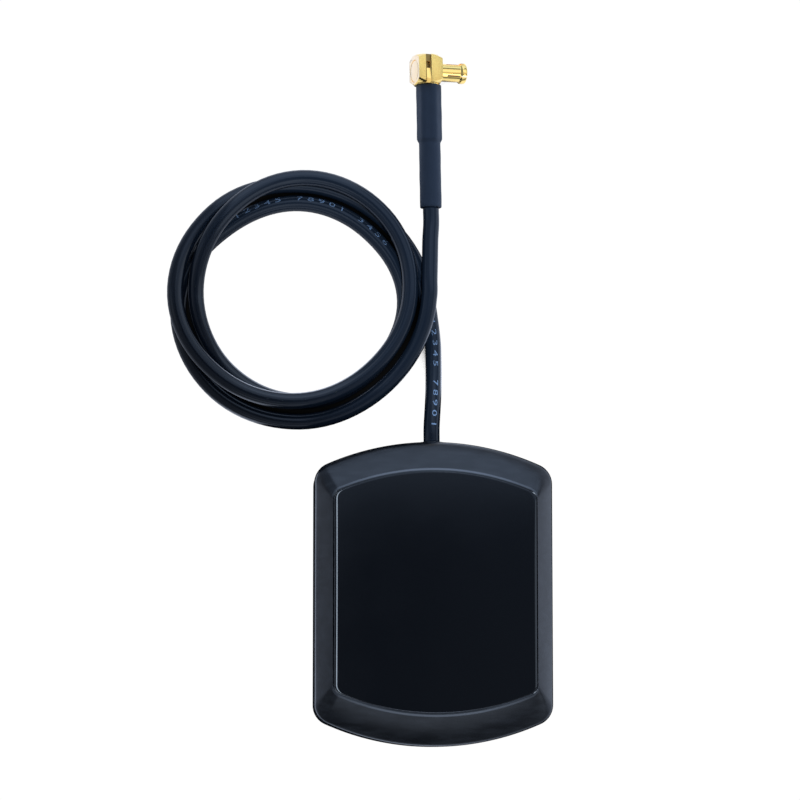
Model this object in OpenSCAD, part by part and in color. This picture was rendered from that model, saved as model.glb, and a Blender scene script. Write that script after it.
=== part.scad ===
// Active satellite-navigation patch antenna: a low magnetic-base housing, a coiled thin coax
// lead and a right-angle push-fit coax plug. Millimetres, +Z up, +Y towards the lead.
// The origin is the centre of the underside of the housing.

/* [Housing] */
// Width of the housing across its straight sides
body_w = 40.8; // [39:0.1:46]
// Length of the housing between its bowed ends
body_l = 52; // [50:0.1:60]
// Height from the foot pad to the raised top panel
body_h = 13.2; // [13:0.1:18]
// Radius of the bowed ends, seen from above
end_r = 45; // [38:1:70]
// Radius of the housing's upright corners
corner_r = 3.6; // [3.2:0.1:6]
// Thickness of the upright walls
wall = 1.8; // [1.7:0.1:2.4]
// Thickness of the cover's roof
roof_t = 1.6; // [1.2:0.1:2]
// Height of the seam between base and cover
seam_z = 6.8; // [6.5:0.1:7.4]
// How far the cover's skirt stands out past the base
reveal = 0.1; // [0.05:0.05:0.2]

/* [Cover] */
// Width of the sloping band along the sides, seen from above
bevel_side = 3; // [2:0.1:3.4]
// Width of the sloping band at the ends, seen from above
bevel_end = 5.3; // [3.5:0.1:6]
// Height of the sloping band
bevel_h = 4.3; // [3.5:0.1:4.8]
// Corner radius at the top of the sloping band
bevel_corner_r = 2; // [1.6:0.1:3]
// Radius of the bowed ends of the top panel
panel_end_r = 42; // [35:1:60]
// Width of the ledge between the sloping band and the panel
ledge_w = 0.4; // [0.2:0.05:0.6]
// Height of the raised top panel above the ledge
panel_h = 0.5; // [0.3:0.05:0.8]
// Rounding of the panel's edge
panel_edge = 0.25; // [0.1:0.05:0.4]

/* [Base] */
// Thickness of the rubber foot pad
pad_t = 0.8; // [0.6:0.1:1.2]
// How far the foot pad stands below the base
pad_proud = 0.3; // [0.2:0.05:0.5]
// Distance from the foot pad's edge to the housing's side
pad_inset = 2.2; // [1.8:0.1:4]
// Thickness of the base's floor
floor_t = 1.2; // [1:0.1:1.4]
// Width of the sealing gasket
gasket_w = 0.8; // [0.6:0.05:1]
// Height of the sealing gasket
gasket_h = 0.6; // [0.4:0.05:0.7]
// Width of the magnet
magnet_w = 20; // [14:1:22]
// Length of the magnet
magnet_l = 14; // [8:1:22]
// Thickness of the magnet
magnet_t = 1.5; // [1:0.1:1.6]
// Radius of the screw shank
screw_r = 1; // [0.8:0.05:1.2]
// Radius of the screw head
screw_head_r = 1.75; // [1.5:0.05:1.9]
// Height of the screw head
screw_head_h = 0.8; // [0.6:0.05:0.9]
// Depth of the boss past the tip of the screw
screw_short = 1.4; // [1:0.1:2]
// Radius of the screw towers and bosses
tower_r = 2.2; // [2:0.05:2.4]

/* [Board and antenna element] */
// Distance from the ends of the amplifier board to the ends of the housing
board_setback = 9; // [8.5:0.1:11]
// Thickness of the amplifier board
board_t = 1; // [0.8:0.1:1.1]
// Height of the board's underside
board_z = 5.5; // [5.2:0.1:5.7]
// Distance from the ceramic element's side to the board's side
board_edge = 1.2; // [0.5:0.1:3]
// Clear space between the feed pin's head and the roof
roof_gap = 0.4; // [0.3:0.05:1]
// Width of bare ceramic around the silver electrode
electrode_edge = 2.25; // [1.5:0.05:4]
// Thickness of each silver electrode
electrode_t = 0.1; // [0.05:0.05:0.15]
// Thickness of the bonding tape
tape_t = 0.2; // [0.1:0.05:0.3]
// Radius of the feed pin
feed_r = 0.45; // [0.3:0.05:0.6]
// Radius of the feed pin's head
feed_head_r = 1.1; // [0.8:0.1:1.5]
// Height of the feed pin's head
feed_head_h = 0.3; // [0.2:0.05:0.35]
// Distance of the feed pin from the centre of the ceramic
feed_y = 1.9; // [1:0.1:3]
// Width of the shield can
shield_w = 19; // [14:0.5:20]
// Length of the shield can
shield_l = 16; // [12:0.5:18]
// Height of the shield can
shield_h = 2.1; // [1.6:0.1:2.2]
// Wall of the shield can
shield_t = 0.2; // [0.15:0.05:0.3]
// Place of the shield can's centre along the board
shield_y = -3; // [-4:0.5:-2]

/* [Lead] */
// Outside diameter of the coax lead
cable_d = 2.8; // [2.5:0.05:2.9]
// Diameter over the braid
braid_d = 2.1; // [1.9:0.05:2.2]
// Diameter of the dielectric
dielectric_d = 1.5; // [1.3:0.05:1.6]
// Diameter of the inner conductor
core_d = 0.48; // [0.4:0.02:0.6]
// Height of the lead where it leaves the housing
cable_z = 3.8; // [3.6:0.05:3.9]
// Radius of the grommet in the wall
grommet_r = 1.95; // [1.8:0.05:2]
// Radius of the grommet's outer lip
grommet_lip_r = 2.4; // [2.2:0.1:2.6]
// Thickness of the grommet's outer lip
grommet_lip = 0.3; // [0.2:0.05:0.6]
// Length of jacket inside the housing
jacket_tail = 3; // [2:0.5:3.5]
// Length of bare braid inside the housing
braid_tail = 8; // [7:0.5:9]
// Length of bare dielectric inside the housing
dielectric_tail = 2.5; // [2:0.5:3]
// Length of bare conductor inside the housing
core_tail = 1.5; // [1:0.5:2]

/* [Plug] */
// Size of the plug's block along its mating axis
block_x = 4.4; // [4.2:0.1:5]
// Size of the plug's block along the lead
block_y = 5; // [4.8:0.1:6]
// Depth of the plug's block
block_z = 5; // [4.8:0.1:6]
// Offset of the block from the axis of the lead
block_off = -0.4; // [-0.5:0.05:0]
// Rise of the turned chamfer for each millimetre of radius
chamfer_rise = 0.7; // [0.4:0.05:0.9]
// Radius of the flat end inside the turned chamfer
chamfer_r = 2.3; // [2.1:0.05:2.6]
// Width of the groove in the block's face
groove_w = 1; // [0.8:0.05:1.2]
// Depth of the groove in the block's face
groove_t = 0.5; // [0.3:0.05:0.6]
// Offset of the groove from the middle of the block's face
groove_off = -0.4; // [-0.6:0.05:0.4]
// Length of the stem's tab in the groove
tab_l = 2.4; // [1.6:0.1:3]
// Radius of the rear cap
cap_r = 1.95; // [1.8:0.05:2]
// Thickness of the rear cap
cap_t = 0.7; // [0.5:0.05:0.9]
// Outer radius of the mating tube
tube_r = 1.55; // [1.5:0.01:1.6]
// Wall of the mating tube
tube_wall = 0.3; // [0.25:0.01:0.35]
// Length of the mating tube past the block
tube_l = 4.9; // [4.5:0.1:5.2]
// Depth of the mating tube's seat in the block
tube_seat = 1; // [0.8:0.1:1.2]
// Radius of the snap ring at the tip of the mating tube
snap_r = 1.8; // [1.75:0.01:1.85]
// Length of the cylindrical land on the snap ring
snap_land = 0.6; // [0.5:0.05:0.8]
// Number of slots that make the tube's spring fingers
slot_count = 4; // [3:1:6]
// Width of each slot
slot_w = 0.3; // [0.2:0.05:0.35]
// Length of each slot
slot_l = 3.6; // [3:0.1:4]
// Turn of the slots about the mating axis
slot_turn = 30; // [0:5:90]
// Radius of the centre pin
pin_r = 0.25; // [0.2:0.01:0.3]
// Radius of the centre pin's solder cup
cup_r = 0.55; // [0.5:0.01:0.6]
// Across-corners radius of the crimped ferrule
ferrule_r = 1.74; // [1.7:0.01:1.8]
// Length of the ferrule
ferrule_l = 8.5; // [7:0.1:9]
// Radius of the heat-shrink sleeve over the ferrule
sleeve_r = 2.2; // [2.1:0.01:2.3]
// Radius of the heat-shrink sleeve over the lead
sleeve_tail_r = 1.88; // [1.75:0.01:2]
// Length of the sleeve's wide part
sleeve_wide_l = 9.5; // [9.2:0.1:11]
// Length of the sleeve's shoulder
shoulder_l = 0.8; // [0.5:0.1:1.2]
// Length of the sleeve's narrow part
sleeve_tail_l = 11.3; // [8:0.1:12]
// Roll of the plug about the lead as it lies
plug_roll = 16; // [5:1:20]
// Turn of the plug on the surface as it lies
plug_turn = 1; // [0:0.5:3]

/* [Hidden] */
$fn = 48;

// Overlap that keeps cuts clear of coincident faces
cut = 1;
// Clearance between pieces that slide into each other
slip = 0.03;
// Thickness of the slices that a sloping shell is stretched between
slice = 0.01;
// Number of straight steps in a bowed end and in a corner
end_steps = 12;
corner_steps = 6;

// Heights of the housing
base_z = pad_proud;
floor_z = pad_t + floor_t;
ledge_z = body_h - panel_h;
rim_z = ledge_z - bevel_h;
roof_z = body_h - roof_t;
// The roof's cavity is drawn in from the sloping band by this much
roof_inset = 0.75 * roof_t;
// The cavity's upright wall stops this far below the rim
cavity_drop = 0.2;

// Magnet pocket
pocket_roof = 0.8;
pocket_wall = 1;
pocket_z = pad_t + magnet_t + slip;

// Screw towers stand by the walls, and the board fits between them
tower_gap = 0.3;
tower_wall_gap = 0.2;
screw_x = body_w / 2 - wall - tower_wall_gap - tower_r;
board_w = 2 * (screw_x - tower_r - tower_gap);
board_l = body_l - 2 * board_setback;
screw_y = board_l / 2;
screw_seat_z = pad_t + screw_head_h;
boss_rise = 1.6;
boss_top_z = rim_z + boss_rise;
screw_tip_z = boss_top_z - screw_short;
screw_l = screw_tip_z - screw_seat_z;
pilot_room = 0.4;
screw_free = 0.15;
screw_drive_w = 0.3;
screw_drive_l = 1.8;
screw_drive_h = 0.4;

// Posts that carry the board
post_r = 1.3;
post_pin_r = 0.6;
post_pin_h = 0.2;
post_inset_x = 2;
post_inset_y = 1.8;
post_x = board_w / 2 - post_inset_x;
post_y = board_l / 2 - post_inset_y;

// Antenna element on the board
tape_z = board_z + board_t;
ground_z = tape_z + tape_t;
patch_z = ground_z + electrode_t;
feed_head_z = roof_z - roof_gap - feed_head_h;
patch_top_z = feed_head_z - electrode_t;
patch_t = patch_top_z - patch_z;
patch_w = board_w - 2 * board_edge;
electrode_w = patch_w - 2 * electrode_edge;
feed_tail = 0.5;

// Small parts under the board, seen from below
chip_size = [2, 1.3, 0.9];
chip_at = [-3.5, -2];
filter_size = [3, 3, 1.1];
filter_at = [3, -2.5];
cap_size = [1, 0.5, 0.5];
cap_count = 6;
cap_pitch = 2.4;
cap_row_y = -5;
can_vent_r = 0.5;
can_vent_pitch = 4;

// Lead at the housing
cable_r = cable_d / 2;
braid_r = braid_d / 2;
dielectric_r = dielectric_d / 2;
core_r = core_d / 2;
inner_end_y = body_l / 2 - wall;
exit_y = body_l / 2 + grommet_lip;
jacket_end_y = inner_end_y - jacket_tail;
braid_end_y = jacket_end_y - braid_tail;
dielectric_end_y = braid_end_y - dielectric_tail;
core_end_y = dielectric_end_y - core_tail;
braid_joint_in = 2;
braid_joint_y = board_l / 2 - braid_joint_in;
core_joint_y = dielectric_end_y - core_tail / 2;
feed_joint_r = 0.9;
feed_joint_tip_r = 0.6;
braid_joint_r = 1.3;
braid_joint_tip_r = 0.8;
braid_joint_low = 0.6;
core_joint_r = 0.7;
core_joint_tip_r = 0.45;

// Plug, along the lead from its own origin at the crossing of lead and mating axis
block_end_y = -block_y / 2;
flange_t = 0.2;
stem_r = 0.98;
stem_wall = 0.18;
stem_in = 0.6;
stem_short = 1.5;
flange_inset = 0.1;
layer_gap = 0.1;
dielectric_in = 0.4;
sleeve_top_y = block_end_y - flange_t;
ferrule_top_y = sleeve_top_y - layer_gap;
ferrule_end_y = ferrule_top_y - ferrule_l;
stem_end_y = ferrule_end_y + stem_short;
shoulder_y = sleeve_top_y - sleeve_wide_l;
mouth_y = shoulder_y - shoulder_l - sleeve_tail_l;
plug_jacket_top_y = ferrule_end_y - 2 * layer_gap;
mating_y = -0.25;
block_left = block_off - block_x / 2;
block_right = block_off + block_x / 2;
tube_tip = block_right + tube_l;
cavity_r = 1.6;
insulator_r = tube_r - tube_wall - slip;
insulator_back = block_right - tube_seat;
insulator_recess = 1.2;
insulator_front = tube_tip - insulator_recess;
insulator_foot_r = cavity_r - slip;
insulator_foot_t = 0.6;
pin_recess = 0.5;
pin_tip = tube_tip - pin_recess;
cup_l = 1.2;
groove_x = block_off + groove_off;
tab_slack = 0.06;
cap_edge = 0.12;
window_w = 0.8;
window_l = 1.3;

// The plug lies on the surface with the tip of its mating tube and its block's lower edge
floor_gap = 0.05;
tip_drop = tube_tip * sin(plug_roll) + snap_r * cos(plug_roll);
edge_drop = block_right * sin(plug_roll) + block_z / 2 * cos(plug_roll);
plug_z = max(tip_drop, edge_drop) + floor_gap;
// Place of the plug, measured from where the lead leaves the housing
plug_at = [-0.5, 65.4];

// Route of the lead, measured from where it leaves the housing
lead_points = [
  [0, 0, cable_z], [0, 2.7, cable_z], [0.2, 5.7, 3.3], [0.4, 8.7, 2.5], [0.5, 11.7, 1.8],
  [0.5, 14.7, 1.5], [0.4, 17.7, 1.45], [0, 21.2, 1.45]
];
coil_centre = [-22.7, 25];
coil_turns = 3;
rings_per_turn = 24;
stations_per_turn = 8;
// Radius of the coil and its layer at every eighth of a turn
coil_radius = [
  22.1, 20.3, 20.25, 21.25, 21.65, 19.6, 18, 17.45,
  18.9, 20.5, 20.85, 19.1, 18.1, 17.6, 17.75, 17.5,
  18.25, 16.9, 17, 17.8, 21, 21.7, 21.25, 21.1, 22.2
];
coil_layer = [
  0, 0, 0, 0.6, 1, 1, 1, 1,
  1, 1, 1.06, 1.5, 0.7, 0, 0, 0,
  0, 0, 0, 0, 0, 0, 0, 0.6, 1
];
// Clear space between turns that lie on each other
turn_gap = 0.5;
lowest_z = cable_r + floor_gap;
mouth_dir = [sin(plug_turn), -cos(plug_turn), 0];
mouth = [plug_at[0], plug_at[1], plug_z] - mouth_y * mouth_dir;
plug_points = [
  [-0.4, 28.4, 4.75], [-0.3, 31.9, 4.4], [-0.2, 35.4, 3.95], mouth + cable_d * mouth_dir, mouth
];

// Outline of the housing, seen from above

function arc(centre, r, from, to, steps) =
  [for (i = [0:steps]) let (a = from + (to - from) * i / steps) centre + r * [cos(a), sin(a)]];

// Bowed ends and straight sides, joined by corners that are tangent to both
function bowed_outline(w, l, bow_r, round_r) =
  let (
    bow_y = l / 2 - bow_r,
    round_x = w / 2 - round_r,
    round_y = bow_y + sqrt(pow(bow_r - round_r, 2) - pow(round_x, 2)),
    meet = atan2(round_y - bow_y, round_x),
    top_bow = arc([0, bow_y], bow_r, meet, 180 - meet, end_steps),
    low_bow = arc([0, -bow_y], bow_r, 180 + meet, 360 - meet, end_steps)
  )
  concat(
    arc([round_x, round_y], round_r, 0, meet, corner_steps),
    [for (i = [1:end_steps - 1]) top_bow[i]],
    arc([-round_x, round_y], round_r, 180 - meet, 180, corner_steps),
    arc([-round_x, -round_y], round_r, 180, 180 + meet, corner_steps),
    [for (i = [1:end_steps - 1]) low_bow[i]],
    arc([round_x, -round_y], round_r, 360 - meet, 360, corner_steps)
  );

module housing_outline(inset = 0) {
  polygon(bowed_outline(body_w - 2 * inset, body_l - 2 * inset, end_r - inset, corner_r - inset));
}

// Outline at the top of the sloping band, or of the panel inside it
module panel_outline(inset = 0) {
  polygon(bowed_outline(
    body_w - 2 * (bevel_side + inset),
    body_l - 2 * (bevel_end + inset),
    panel_end_r - inset,
    bevel_corner_r - inset
  ));
}

module slab(z, h) {
  translate([0, 0, z]) linear_extrude(h) children();
}

module rod_y(r, from, to) {
  translate([0, from, 0]) rotate([-90, 0, 0]) cylinder(r = r, h = to - from);
}

module rod_x(r, from, to) {
  translate([from, 0, 0]) rotate([0, 90, 0]) cylinder(r = r, h = to - from);
}

module at_screws() {
  for (x = [-screw_x, screw_x])
    for (y = [-screw_y, screw_y])
      translate([x, y, 0]) children();
}

module at_posts() {
  for (x = [-post_x, post_x])
    for (y = [-post_y, post_y])
      translate([x, y, 0]) children();
}

// Housing

module cover_shell() {
  slab(seam_z, rim_z - seam_z) housing_outline();
  hull() {
    slab(rim_z - slice, slice) housing_outline();
    slab(ledge_z - slice, slice) panel_outline();
  }
  hull() {
    slab(ledge_z - slice, slice) panel_outline(ledge_w);
    slab(body_h - panel_edge - slice, slice) panel_outline(ledge_w);
    slab(body_h - slice, slice) panel_outline(ledge_w + panel_edge);
  }
}

module cover_cavity() {
  slab(seam_z - cut, rim_z - cavity_drop - seam_z + cut) housing_outline(wall);
  hull() {
    slab(rim_z - cavity_drop - slice, slice) housing_outline(wall);
    slab(roof_z - slice, slice) panel_outline(roof_inset);
  }
}

module top_cover() {
  color("#17191d")
  difference() {
    union() {
      difference() {
        cover_shell();
        cover_cavity();
      }
      at_screws() slab(seam_z, boss_top_z - seam_z) circle(tower_r);
    }
    at_screws() slab(seam_z - cut, screw_tip_z + pilot_room - seam_z + cut) circle(screw_r + slip);
  }
}

module base_tray() {
  color("#141518")
  difference() {
    union() {
      difference() {
        slab(base_z, seam_z - base_z) housing_outline(reveal);
        slab(floor_z, seam_z) housing_outline(wall);
      }
      slab(base_z, pocket_z + pocket_roof - base_z)
        square([magnet_w + 2 * pocket_wall, magnet_l + 2 * pocket_wall], center = true);
      at_screws() slab(base_z, seam_z - base_z) circle(tower_r);
      at_posts() slab(base_z, board_z - base_z) circle(post_r);
      at_posts() slab(base_z, board_z + board_t + post_pin_h - base_z) circle(post_pin_r);
    }
    slab(base_z - cut, pad_t - base_z + cut) housing_outline(pad_inset - slip);
    slab(base_z - cut, pocket_z - base_z + cut)
      square([magnet_w + 2 * slip, magnet_l + 2 * slip], center = true);
    at_screws() slab(base_z - cut, screw_seat_z - base_z + cut) circle(screw_head_r + screw_free);
    at_screws() slab(base_z, seam_z - base_z + cut) circle(screw_r + screw_free);
    slab(seam_z - gasket_h, gasket_h + cut) gasket_outline(slip);
    translate([0, 0, cable_z]) rod_y(grommet_r, inner_end_y - cut, body_l / 2 + cut);
  }
}

// A closed band along the middle of the wall
module gasket_outline(ease = 0) {
  middle = (wall + reveal) / 2;
  difference() {
    housing_outline(middle - gasket_w / 2 - ease);
    housing_outline(middle + gasket_w / 2 + ease);
  }
}

module seal_gasket() {
  color("#2b2d30") slab(seam_z - gasket_h, gasket_h) gasket_outline();
}

module foot_pad() {
  color("#232427") slab(0, pad_t) housing_outline(pad_inset);
}

module magnet() {
  color("#8f9296") slab(pad_t, magnet_t) square([magnet_w, magnet_l], center = true);
}

module base_screws() {
  color("#b9bcc0")
  at_screws()
  difference() {
    union() {
      slab(pad_t, screw_head_h) circle(screw_head_r);
      slab(screw_seat_z - slice, screw_l + slice) circle(screw_r);
    }
    for (a = [0, 90])
      rotate(a)
        slab(pad_t - cut, screw_drive_h + cut) square([screw_drive_l, screw_drive_w], center = true);
  }
}

module cable_grommet() {
  color("#1c1d20")
  translate([0, 0, cable_z])
  difference() {
    union() {
      rod_y(grommet_r - slip, inner_end_y, exit_y);
      rod_y(grommet_lip_r, body_l / 2 - reveal, exit_y);
    }
    rod_y(cable_r + slip, inner_end_y - cut, exit_y + cut);
  }
}

// Board, antenna element and amplifier

module lna_board() {
  color("#1f5a3a")
  difference() {
    slab(board_z, board_t) square([board_w, board_l], center = true);
    at_posts() slab(board_z - cut, board_t + 2 * cut) circle(post_pin_r + slip);
    translate([0, feed_y, 0]) slab(board_z - cut, board_t + 2 * cut) circle(feed_r + slip);
  }
}

// A square sheet with the feed pin's hole in it
module fed_sheet(w, z, t, hole_r) {
  difference() {
    slab(z, t) square(w, center = true);
    translate([0, feed_y, 0]) slab(z - cut, t + 2 * cut) circle(hole_r);
  }
}

module patch_tape() {
  color("#d8d2b8") fed_sheet(patch_w, tape_z, tape_t, feed_head_r);
}

module ground_electrode() {
  color("#c9cccf") fed_sheet(patch_w, ground_z, electrode_t, feed_head_r);
}

module patch_ceramic() {
  color("#b08d62") fed_sheet(patch_w, patch_z, patch_t, feed_r + slip);
}

module patch_electrode() {
  color("#d5d8da") fed_sheet(electrode_w, patch_top_z, electrode_t, feed_r + slip);
}

module feed_pin() {
  color("#cfd1d3")
  translate([0, feed_y, 0]) {
    slab(board_z - feed_tail, feed_head_z - board_z + feed_tail + slice) circle(feed_r);
    slab(feed_head_z, feed_head_h) circle(feed_head_r);
  }
}

// Places a small part on the underside of the board, inside the shield can
module under_board(at, h) {
  translate([at[0], shield_y + at[1], board_z - h]) linear_extrude(h) children();
}

module shield_can() {
  color("#c2c4c6")
  translate([0, shield_y, 0])
  difference() {
    slab(board_z - shield_h, shield_h) square([shield_w, shield_l], center = true);
    slab(board_z - shield_h + shield_t, shield_h)
      square([shield_w - 2 * shield_t, shield_l - 2 * shield_t], center = true);
    for (i = [-1:1])
      translate([i * can_vent_pitch, 0, 0]) slab(board_z - shield_h - cut, shield_h) circle(can_vent_r);
  }
}

module lna_chip() {
  color("#2a2b2e")
    under_board(chip_at, chip_size[2]) square([chip_size[0], chip_size[1]], center = true);
}

module saw_filter() {
  color("#d9cfa6")
    under_board(filter_at, filter_size[2]) square([filter_size[0], filter_size[1]], center = true);
}

module chip_capacitors() {
  color("#a5805c")
  for (i = [0:cap_count - 1])
    under_board([(i - (cap_count - 1) / 2) * cap_pitch, cap_row_y], cap_size[2])
      square([cap_size[0], cap_size[1]], center = true);
}

// A cone of solder from the board's underside down to a given height
module solder_cone(y, low_z, r, tip_r) {
  translate([0, y, low_z]) cylinder(r1 = tip_r, r2 = r, h = board_z - low_z);
}

module solder_joints() {
  color("#aeb1b4") {
    difference() {
      solder_cone(feed_y, board_z - feed_tail, feed_joint_r, feed_joint_tip_r);
      translate([0, feed_y, 0]) slab(board_z - feed_tail - cut, feed_tail + 2 * cut) circle(feed_r + slip);
    }
    difference() {
      solder_cone(braid_joint_y, cable_z + braid_joint_low, braid_joint_r, braid_joint_tip_r);
      translate([0, 0, cable_z]) rod_y(braid_r + slip, braid_end_y, jacket_end_y);
    }
    difference() {
      solder_cone(core_joint_y, cable_z - core_r, core_joint_r, core_joint_tip_r);
      translate([0, 0, cable_z]) rod_y(core_r + slip, core_end_y, dielectric_end_y);
    }
  }
}

// Layers of the lead at the housing

module layer_y(r, bore_r, from, to) {
  difference() {
    rod_y(r, from, to);
    rod_y(bore_r + slip, from - cut, to + cut);
  }
}

module entry_jacket() {
  color("#16181c") translate([0, 0, cable_z]) layer_y(cable_r, braid_r, jacket_end_y, exit_y);
}

module entry_braid() {
  color("#b7b2a6") translate([0, 0, cable_z]) layer_y(braid_r, dielectric_r, braid_end_y, exit_y);
}

module entry_dielectric() {
  color("#e9e9e4") translate([0, 0, cable_z]) layer_y(dielectric_r, core_r, dielectric_end_y, exit_y);
}

module entry_core() {
  color("#b87333") translate([0, 0, cable_z]) rod_y(core_r, core_end_y, exit_y);
}

// Free lead

function unit(v) = v / norm(v);

// Smooth curve through evenly spaced values
function along(v, t) =
  let (
    last = len(v) - 1,
    i = min(floor(t), last - 1),
    f = t - i,
    a = v[i],
    b = v[i + 1],
    before = i > 0 ? v[i - 1] : 2 * a - b,
    after = i < last - 1 ? v[i + 2] : 2 * b - a
  )
  a + f * (b - before + f * (2 * before - 5 * a + 4 * b - after + f * (3 * a - before - 3 * b + after))) / 2;

// Steps that ease in and out between evenly spaced values
function eased(v, t) =
  let (i = min(floor(t), len(v) - 2), f = t - i)
  v[i] + (v[i + 1] - v[i]) * f * f * (3 - 2 * f);

function coil_point(turn) =
  let (t = turn * stations_per_turn, r = along(coil_radius, t), a = 360 * turn)
  [
    coil_centre[0] + r * cos(a),
    coil_centre[1] + r * sin(a),
    lowest_z + eased(coil_layer, t) * (cable_d + turn_gap)
  ];

coil_points = [for (i = [0:coil_turns * rings_per_turn]) coil_point(i / rings_per_turn)];
route = concat(lead_points, coil_points, plug_points);
coil_first = len(lead_points);
coil_last = coil_first + len(coil_points) - 1;

// Direction of the route at one of its points
function heading(i) =
  unit(route[min(i + 1, len(route) - 1)] - route[max(i - 1, 0)]);

function ring(i, r, sides) =
  let (t = heading(i), side = unit(cross(t, [0, 0, 1])), up = cross(side, t))
  [for (k = [0:sides - 1]) let (a = 360 * (k + 0.5) / sides) route[i] + r * (cos(a) * side + sin(a) * up)];

// One unbroken tube along a stretch of the route
module tube(first, last, sides) {
  rings = last - first;
  points = [for (i = [first:last]) each ring(i, cable_r, sides)];
  walls = [
    for (i = [0:rings - 1], k = [0:sides - 1])
      let (a = i * sides + k, b = i * sides + (k + 1) % sides)
      each [[a, b, a + sides], [b, b + sides, a + sides]]
  ];
  first_cap = [for (k = [1:sides - 2]) [0, k + 1, k]];
  last_cap = [for (k = [1:sides - 2]) [rings * sides, rings * sides + k, rings * sides + k + 1]];
  translate([0, exit_y, 0])
    polyhedron(points, concat(walls, first_cap, last_cap), convexity = 10);
}

lead_sides = 8;
coil_sides = 6;

module cable_lead() {
  color("#16181c") tube(0, coil_first, lead_sides);
}

module cable_coil() {
  color("#16181c") tube(coil_first, coil_last, coil_sides);
}

module plug_lead() {
  color("#16181c") tube(coil_last, len(route) - 1, lead_sides);
}

// Least gap between turns, measured on points that lie a quarter turn or more apart
apart = rings_per_turn / 4;
turn_spaces = [
  for (i = [0:len(coil_points) - 1 - apart], j = [i + apart:len(coil_points) - 1])
    norm(coil_points[i] - coil_points[j]) - cable_d
];
echo(str("Least gap between turns of the coil: ", min(turn_spaces), " mm"));
run_lengths = [for (i = [1:len(route) - 1]) norm(route[i] - route[i - 1])];
echo(str("Length of the free lead: ", run_lengths * [for (i = run_lengths) 1], " mm"));

// Plug and its end of the lead

module in_plug() {
  translate([plug_at[0], plug_at[1] + exit_y, plug_z]) rotate([0, plug_roll, plug_turn]) children();
}

module plug_jacket() {
  color("#16181c") in_plug() layer_y(cable_r, braid_r, mouth_y, plug_jacket_top_y);
}

// The braid opens out over the stem, under the ferrule
module plug_braid() {
  flare_r = stem_r + slip;
  flare_t = braid_r - dielectric_r - slip;
  color("#b7b2a6")
  in_plug()
  rotate([-90, 0, 0])
  rotate_extrude()
  polygon([
    [dielectric_r + slip, mouth_y], [braid_r, mouth_y], [braid_r, ferrule_end_y],
    [flare_r + flare_t, stem_end_y], [flare_r + flare_t, ferrule_top_y],
    [flare_r, ferrule_top_y], [flare_r, stem_end_y - slip], [dielectric_r + slip, ferrule_end_y - slip]
  ]);
}

module plug_dielectric() {
  color("#e9e9e4") in_plug() layer_y(dielectric_r, core_r, mouth_y, block_end_y + dielectric_in);
}

module plug_core() {
  color("#b87333") in_plug() rod_y(core_r, mouth_y, mating_y - cup_r - slip);
}

module heat_shrink() {
  color("#24282e")
  in_plug()
  rotate([-90, 0, 0])
  rotate_extrude()
  polygon([
    [ferrule_r + slip, sleeve_top_y], [sleeve_r, sleeve_top_y], [sleeve_r, shoulder_y],
    [sleeve_tail_r, shoulder_y - shoulder_l], [sleeve_tail_r, mouth_y], [cable_r + slip, mouth_y],
    [cable_r + slip, plug_jacket_top_y], [ferrule_r + slip, plug_jacket_top_y + layer_gap]
  ]);
}

// A round tube that a crimping tool has pressed to a hexagon
module crimp_ferrule() {
  bore_r = stem_r + braid_r - dielectric_r + slip;
  color("#c9a24a")
  in_plug()
  difference() {
    translate([0, ferrule_end_y, 0]) rotate([-90, 0, 0]) cylinder(r = ferrule_r, h = ferrule_l, $fn = 6);
    rod_y(bore_r, ferrule_end_y - cut, ferrule_top_y + cut);
  }
}

// The stem carries the braid, closes the block's end and keys into its groove with a tab
module crimp_stem() {
  tab_w = groove_w - 2 * tab_slack;
  color("#dcb85a")
  in_plug()
  difference() {
    union() {
      rod_y(stem_r, stem_end_y, block_end_y + stem_in);
      translate([block_off, 0, 0]) rod_y(chamfer_r - flange_inset, sleeve_top_y, block_end_y);
      translate([groove_x, sleeve_top_y, block_z / 2 - groove_t + tab_slack])
        translate([-tab_w / 2, 0, 0])
          cube([tab_w, tab_l + flange_t, groove_t]);
      translate([groove_x - tab_w / 2, sleeve_top_y, 0]) cube([tab_w, flange_t, block_z / 2]);
    }
    rod_y(stem_r - stem_wall, stem_end_y - cut, block_end_y + cut);
  }
}

// Square bar with turned chamfers on both ends
module turned_block() {
  corner_run = norm([block_x, block_z]) / 2 + slip;
  half_y = block_y / 2;
  edge_y = half_y - chamfer_rise * (corner_run - chamfer_r);
  translate([block_off, 0, 0])
  intersection() {
    cube([block_x, block_y, block_z], center = true);
    rotate([-90, 0, 0])
      rotate_extrude()
        polygon([
          [0, -half_y], [chamfer_r, -half_y], [corner_run, -edge_y],
          [corner_run, edge_y], [chamfer_r, half_y], [0, half_y]
        ]);
  }
}

module plug_body() {
  color("#d9b456")
  in_plug()
  difference() {
    turned_block();
    translate([0, mating_y, 0]) {
      rod_x(cap_r + slip, block_left - cut, block_left + cap_t);
      rod_x(cavity_r, block_left, block_right - tube_seat);
      rod_x(tube_r + slip, block_right - tube_seat, block_right + cut);
    }
    rod_y(stem_r + slip, block_end_y - cut, mating_y);
    translate([groove_x - groove_w / 2, -block_y, block_z / 2 - groove_t])
      cube([groove_w, 2 * block_y, groove_t + cut]);
    translate([groove_x - window_w / 2, block_end_y + tab_l, 0])
      cube([window_w, window_l, block_z]);
  }
}

module plug_cap() {
  color("#e6cf8e")
  in_plug()
  translate([block_left, mating_y, 0])
  rotate([0, 90, 0])
  rotate_extrude()
  polygon([[0, 0], [cap_r - cap_edge, 0], [cap_r, cap_edge], [cap_r, cap_t], [0, cap_t]]);
}

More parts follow.
